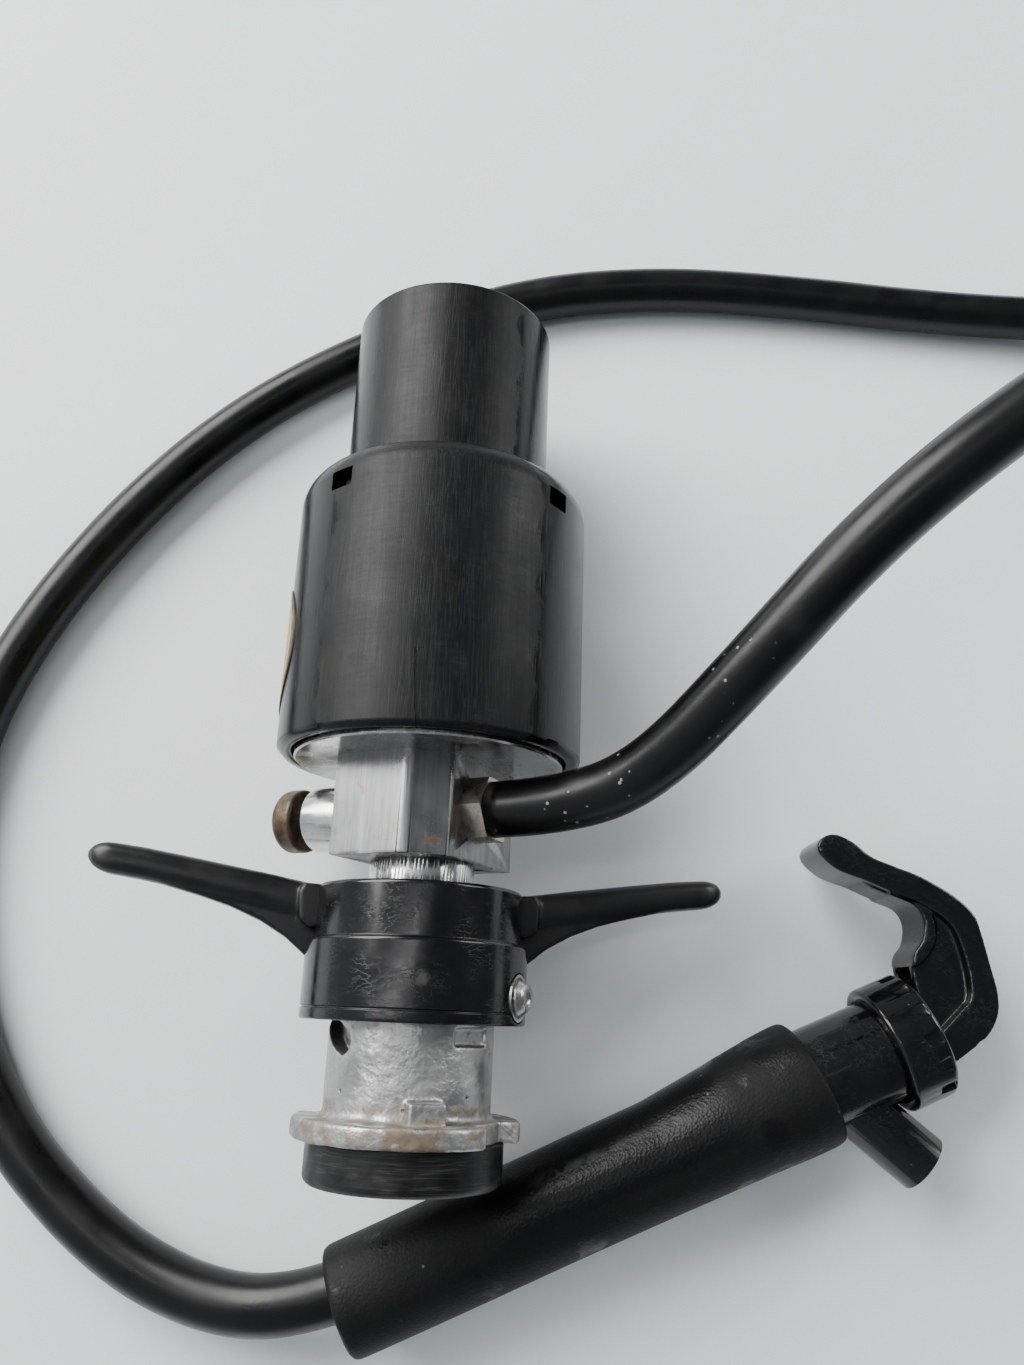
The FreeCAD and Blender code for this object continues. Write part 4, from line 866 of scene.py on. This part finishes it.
def wing_bar(number, azimuth):
    root = 21
    tip = 77.0
    round_from = 71.0
    rings = []
    for step in range(46):
        radius = root + (tip - 0.15 - root) * step / 45
        top = table_value(WING_TOP, radius)
        low = table_value(WING_LOW, radius)
        shrink = max(0.0, (radius - round_from) / (tip - round_from))
        scale = math.sqrt(1 - shrink ** 2)
        middle = (top + low) / 2
        tall = (top - low) / 2 * scale
        wide = table_value(WING_HALF, radius) * scale
        ring = []
        for k in range(28):
            angle = 2 * math.pi * k / 28
            c = math.copysign(abs(math.cos(angle)) ** 0.7, math.cos(angle))
            s = math.copysign(abs(math.sin(angle)) ** 0.7, math.sin(angle))
            ring.append(pump_spot(radius, azimuth, middle + tall * s, wide * c))
        rings.append(ring)
    return loft("wing_bar_%d" % number, rings)


def make_wings():
    parts = []
    for number, azimuth in enumerate((101, 281)):
        def place(radius, station, across, azimuth=azimuth):
            return pump_spot(radius, azimuth, station, across)
        parts.append(wing_bar(number, azimuth))
        parts.append(plank("gusset_%d" % number, WING_GUSSET, -2.3, 2.3, place))
        parts.append(plank("boss_%d" % number, WING_BOSS, -4.7, 4.7, place))
    wings = melted("twist_wings", parts, 0.00048, 5)
    return stand_for(wings, "collar", "wing_collar", wing_look)


COLLAR_PROFILE = [
    (19.4, 34.1, 0.3), (26.15, 34.1, 0.7), (26.15, 36.5, 0.1), (25.8, 36.65, 0.1),
    (25.8, 36.95, 0.1), (26.15, 37.1, 0.1), (26.15, 51.8, 0.8), (24.65, 52.0, 0.25),
    (24.65, 64.2, 1.0), (12.0, 64.2, 0.5), (12.0, 59.2, 0.3), (19.4, 59.2, 0.3)]


def soft_outline(corners, steps=5):
    """Closed outline whose corners (a, b, round) are cut by short smooth arcs."""
    spots = []
    for i, (a, b, cut) in enumerate(corners):
        here = Vector((a, b))
        before = Vector(corners[i - 1][:2]) - here
        after = Vector(corners[(i + 1) % len(corners)][:2]) - here
        first = here + before * min(cut / before.length, 0.45)
        last = here + after * min(cut / after.length, 0.45)
        for step in range(steps):
            t = step / (steps - 1)
            spots.append(first * (1 - t) ** 2 + here * 2 * t * (1 - t) + last * t ** 2)
    return spots


def turned(name, outline, around=144):
    """Outline (radius, station) turned once round the pump's axis."""
    count = len(outline)
    points = [pump_spot(a, 360 * k / around, b) for k in range(around) for a, b in outline]
    faces = []
    for k in range(around):
        ahead = (k + 1) % around * count
        for j in range(count):
            n = (j + 1) % count
            faces.append((k * count + j, k * count + n, ahead + n, ahead + j))
    return new_piece(name, points, faces)


SCREW_AZIMUTHS = (69, 249)
SCREW_STATION = 40.2
SPOT_FACE_RADIUS = 5.6
SPOT_FACE_FLOOR = 25.15
PIN_BORE_RADIUS = 2.5
CAVITY_CLEAR = 15
PAST_THE_COLLAR = 30


def round_bar(azimuth, station, radius, start, end):
    """Straight cutter that points outwards from the pump's axis."""
    rings = []
    for depth in (start, end):
        rings.append([pump_spot(depth, azimuth, station + radius * math.cos(math.tau * k / 40),
                                radius * math.sin(math.tau * k / 40)) for k in range(40)])
    return loft("cutter", rings)


def creased(piece, angle=30):
    shade_smooth(piece.data)
    piece.data.set_sharp_from_angle(angle=math.radians(angle))
    return piece


def make_collar_rings():
    """The two stepped rings of the collar, spot-faced where the screws sit."""
    rings = turned("collar_rings", soft_outline(COLLAR_PROFILE))
    cutters = []
    for azimuth in SCREW_AZIMUTHS:
        cutters.append(round_bar(azimuth, SCREW_STATION, SPOT_FACE_RADIUS, SPOT_FACE_FLOOR,
                                 PAST_THE_COLLAR))
        cutters.append(round_bar(azimuth, SCREW_STATION, PIN_BORE_RADIUS, CAVITY_CLEAR,
                                 PAST_THE_COLLAR))
    for cutter in cutters:
        settled(rings, ("BOOLEAN", {"object": cutter, "solver": "EXACT"}))
        bpy.data.objects.remove(cutter)
    creased(rings, 32)
    settled(rings, ("WEIGHTED_NORMAL", {"keep_sharp": True}))
    return stand_for(rings, "collar", "wing_collar", collar_look)


SMOOTHED = {
    "pump_housing": ("pump", "housing_plastic"), "base_plate": ("pump", "aluminium"),
    "plunger_knob": ("plunger", "housing_plastic"), "hose_nut": ("pump", "nickel"),
    "relief_barrel": ("pump", "aluminium"), "relief_button": ("relief", "brown_brass"),
    "valve_block": ("pump", "aluminium"), "probe_tube": ("pump", "polished"),
    "bottom_seal": ("coupler", "rubber"), "collar_screws": ("collar", "steel"),
    "collar_washers": ("collar", "steel"), "faucet_body": ("pump", "faucet_plastic"),
    "faucet_cap": ("pump", "faucet_plastic"), "base_gasket": ("pump", "rubber"),
    "return_spring": ("pump", "steel"), "relief_spring": ("pump", "steel"),
    "faucet_spring": ("pump", "steel")}
PORT_AXIS = Vector((0.882948, 0, 0.469472))
FAUCET_AXIS = Vector((math.sin(FAUCET_TURN), math.cos(FAUCET_TURN), 0))
SPRINGS = [
    ("return_spring", "plunger_stroke", Vector((0, 1, 0)), 40.0, "low"),
    ("relief_spring", "relief_push", PORT_AXIS, 2.0, "high"),
    ("faucet_spring", "lever_squeeze", FAUCET_AXIS, 2.2, "high")]


def smooth_skin(node, angle=32):
    """Copy of a machined part with shaded rounds and crisp edges in place of facets."""
    data = nodes[node].data.copy()
    work = bmesh.new()
    work.from_mesh(data)
    bmesh.ops.remove_doubles(work, verts=work.verts, dist=2e-6)
    work.to_mesh(data)
    work.free()
    piece = bpy.data.objects.new(node + "_skin", data)
    scene_objects.link(piece)
    creased(piece, angle)
    settled(piece, ("WEIGHTED_NORMAL", {"keep_sharp": True}))
    body, slot = SMOOTHED[node]
    return stand_for(piece, body, node, LOOKS[node])


LEVER_STRAP = [
    (6.0, 43), (3.4, 48.4), (-1.2, 51.9), (-9, 54.0), (-17.2, 55.9), (-21.8, 56.3), (-27.8, 53.7),
    (-34.8, 48.5), (-39.8, 43.3), (-44.3, 38.9), (-49.4, 36.2), (-53.0, 32.6), (-53.0, 28.6),
    (-50.2, 26.8), (-44.6, 29.2), (-39.6, 34.4), (-33.5, 40.4), (-29.5, 44.6), (-26, 47.2),
    (-21, 49.6), (-15, 49.2), (-8, 47.4), (-3.6, 45), (-1.0, 41.5), (3.0, 40.4)]
LEVER_CORE = [
    (3.9, 44.5), (2.0, 49.0), (-1.5, 51.0), (-9, 53.2), (-17.5, 54.6), (-22, 55.0), (-28, 52.4),
    (-35, 47.0), (-40, 42.0), (-39.5, 34.6), (-33, 40), (-29, 43.7), (-24.8, 44.2), (-21, 41.8),
    (-19, 38.6), (-17.3, 36.8), (-15.4, 37.2), (-13, 42), (-8, 44.5), (-2, 43.5)]
LEVER_BEND = [
    (-34, 39), (-29.2, 43.6), (-24.8, 44.0), (-20.6, 41.4), (-18.6, 38.0), (-15.8, 36.2),
    (-15.8, 38.6), (-17.4, 42.2), (-19.6, 44.8), (-24.4, 46.8), (-30.5, 46.0)]
LEVER_CHEEK = [(7.6, 34.2), (6.8, 40), (3.7, 46.8), (-15.8, 46.8), (-15.8, 35.9), (-9, 34)]
LEVER_SKIRT = [
    (8.0, 34.2), (6.6, 41), (3.4, 48.4), (-1.2, 51.6), (-8, 53.4), (-7, 48.6), (-3.4, 45), (0.6, 34.2)]


def curved(outline, steps=6):
    """Closed smooth curve through the outline's points."""
    spots = []
    count = len(outline)
    for i in range(count):
        p0, p1, p2, p3 = [Vector(outline[(i + k) % count]) for k in (-1, 0, 1, 2)]
        for step in range(steps):
            t = step / steps
            spots.append(0.5 * (p1 * 2 + (p2 - p0) * t + (p0 * 2 - p1 * 5 + p2 * 4 - p3) * t ** 2
                                + (p1 * 3 - p0 - p2 * 3 + p3) * t ** 3))
    return spots


def make_lever():
    """Squeeze lever: full-width outer strap, thinner web, two cheeks round the pivot."""
    parts = [
        plank("lever_strap", curved(LEVER_STRAP), -9, 9, faucet_spot),
        plank("lever_core", curved(LEVER_CORE), -6.6, 6.6, faucet_spot),
        plank("lever_bend", curved(LEVER_BEND), -8, 8, faucet_spot)]
    for side in (-1, 1):
        low, high = sorted((side * 4.8, side * 6.7))
        parts.append(plank("lever_cheek", LEVER_CHEEK, low, high, faucet_spot))
        low, high = sorted((side * 4.8, side * 9))
        parts.append(plank("lever_skirt", LEVER_SKIRT, low, high, faucet_spot))
    lever = melted("squeeze_lever", parts, 0.00036, 14)
    return stand_for(lever, "lever", "faucet_lever", faucet_look)


GRIP_LOW_SIDE = [(-123, 14.4), (-100, 14.5), (-70, 14.6), (-40, 14.8), (-22, 15.0), (-7, 15.4),
                 (2, 15.4)]
GRIP_HIGH_SIDE = [(-123, -10.6), (-100, -10.9), (-70, -11.1), (-40, -11.6), (-22, -13.6),
                  (-7, -15.3), (2, -15.9)]


def make_grip():
    """Foam sleeve stretched over the hose and the faucet's barrel."""
    around = 72
    wobble = [(3, 0.12, 0.7), (5, 0.08, 2.1), (7, 0.05, 4.0)]
    def ring(along, inset, tilt=0.0):
        low = table_value(GRIP_LOW_SIDE, along)
        high = table_value(GRIP_HIGH_SIDE, along)
        middle = (low + high) / 2
        radius = (low - high) / 2 - inset
        spots = []
        for k in range(around):
            angle = 2 * math.pi * k / around
            ripple = sum(size * math.sin(count * angle + phase + along * 0.06)
                         for count, size, phase in wobble)
            reach = radius + ripple
            up = max(reach * math.sin(angle), 0.15 - FAUCET_ORIGIN.z)
            spots.append(faucet_spot(middle + reach * math.cos(angle),
                                     along + tilt * math.cos(angle), up))
        return spots
    rings = [ring(-121, 5.6), ring(-122.6, 5.0), ring(-123, 3.6), ring(-123, 1.2),
             ring(-122.6, 0.4), ring(-121.6, 0.0)]
    for step in range(1, 60):
        along = -121.6 + 122.2 * step / 60
        rings.append(ring(along, 0.0, 1.0 if along > -20 else 0.0))
    rings += [ring(1.2, 0.2, 1.0), ring(1.9, 0.9, 1.0), ring(2.0, 2.2, 1.0), ring(1.2, 2.7, 1.0),
              ring(-2, 2.8, 1.0)]
    sleeve = loft("foam_grip", rings)
    sleeve = settled(sleeve, ("SUBSURF", {"levels": 1, "render_levels": 1}))
    return stand_for(sleeve, "pump", "grip_sleeve", grip_look)


LUG_RAMP = [(20.6, 7, 11.2), (20.4, 13, 12.8), (19.6, 19, 15.2), (19.4, 22, 17)]


def raised_bead(data, path, size):
    """Row of overlapping balls along (radius, azimuth, station) points."""
    for first, last in zip(path, path[1:]):
        for step in range(8):
            spot = [a + (b - a) * step / 8 for a, b in zip(first, last)]
            bmesh.ops.create_icosphere(data, subdivisions=2, radius=size * MM,
                                       matrix=Matrix.Translation(pump_spot(*spot)))


def make_casting():
    """The bayonet body with the soft corners and uneven skin of a sand casting."""
    work = bmesh.new()
    work.from_mesh(nodes["coupler_body"].data)
    raised_bead(work, LUG_RAMP, 1.7)
    data = bpy.data.meshes.new("cast_coupler")
    work.to_mesh(data)
    work.free()
    casting = bpy.data.objects.new("cast_coupler", data)
    scene_objects.link(casting)
    lumps = bpy.data.textures.new("casting_lumps", "CLOUDS")
    lumps.noise_scale = 0.006
    lumps.noise_depth = 2
    settled(casting, ("REMESH", {"mode": "VOXEL", "voxel_size": 0.0004}),
            ("SMOOTH", {"iterations": 4, "factor": 0.5}),
            ("DISPLACE", {"texture": lumps, "strength": 0.00035, "mid_level": 0.5,
                          "texture_coords": "LOCAL"}))
    return stand_for(casting, "coupler", "coupler_body", cast_look)


def press_spring(skin, along):
    """Gives the spring its own copy of its mesh; each point's reach along the axis is measured, but
    the spring is not shortened.
    """
    reach = [along.dot(v.co) for v in skin.data.vertices]
    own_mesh(skin)


make_wings()
make_collar_rings()
lever_piece = make_lever()
grip_piece = make_grip()
make_casting()
skins = {node: smooth_skin(node) for node in SMOOTHED}
for spring, joint, along, travel, fixed in SPRINGS:
    press_spring(skins[spring], along)


# ------------------------------------------------------------ stage
def make_floor():
    data = bpy.data.meshes.new("floor")
    work = bmesh.new()
    bmesh.ops.create_grid(work, x_segments=2, y_segments=2, size=3.0)
    work.to_mesh(data)
    work.free()
    floor = bpy.data.objects.new("floor", data)
    floor.location = (0, 0.5, 0)
    scene_objects.link(floor)
    dress(floor, pale_floor())


def light_scene():
    """Room that is bright on the window's side and dim on the other, with a large soft window."""
    world = bpy.data.worlds.new("room")
    world.use_nodes = True
    tree = world.node_tree
    backdrop = tree.nodes["Background"]
    backdrop.inputs["Color"].default_value = (0.86, 0.9, 0.95, 1)
    sideways = add(tree, "SeparateXYZ", {0: add(tree, "TexCoord").outputs["Generated"]}).outputs[0]
    tree.links.new(spread(tree, sideways, -0.9, 0.6, 0.75, 0.22), backdrop.inputs["Strength"])
    bpy.context.scene.world = world
    place_lamp("window", (-0.95, 0.8, 0.95), (0, 0, 0), (1.3, 1.0), 52.0,
               colour=(1.0, 0.99, 0.97))
    place_lamp("left_strip", (-0.26, -0.05, 0.85), (0, 0, 0.03), (0.014, 0.7), 0.45)
    place_lamp("top_strip", (-0.06, -0.02, 0.9), (0, 0, 0.03), (0.012, 0.7), 0.3)
    place_lamp("side", (0.95, 0.5, 0.5), (0, 0, 0.05), (0.5, 0.5), 6.0)


make_floor()
light_scene()

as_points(hose_path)

bpy.context.view_layer.update()
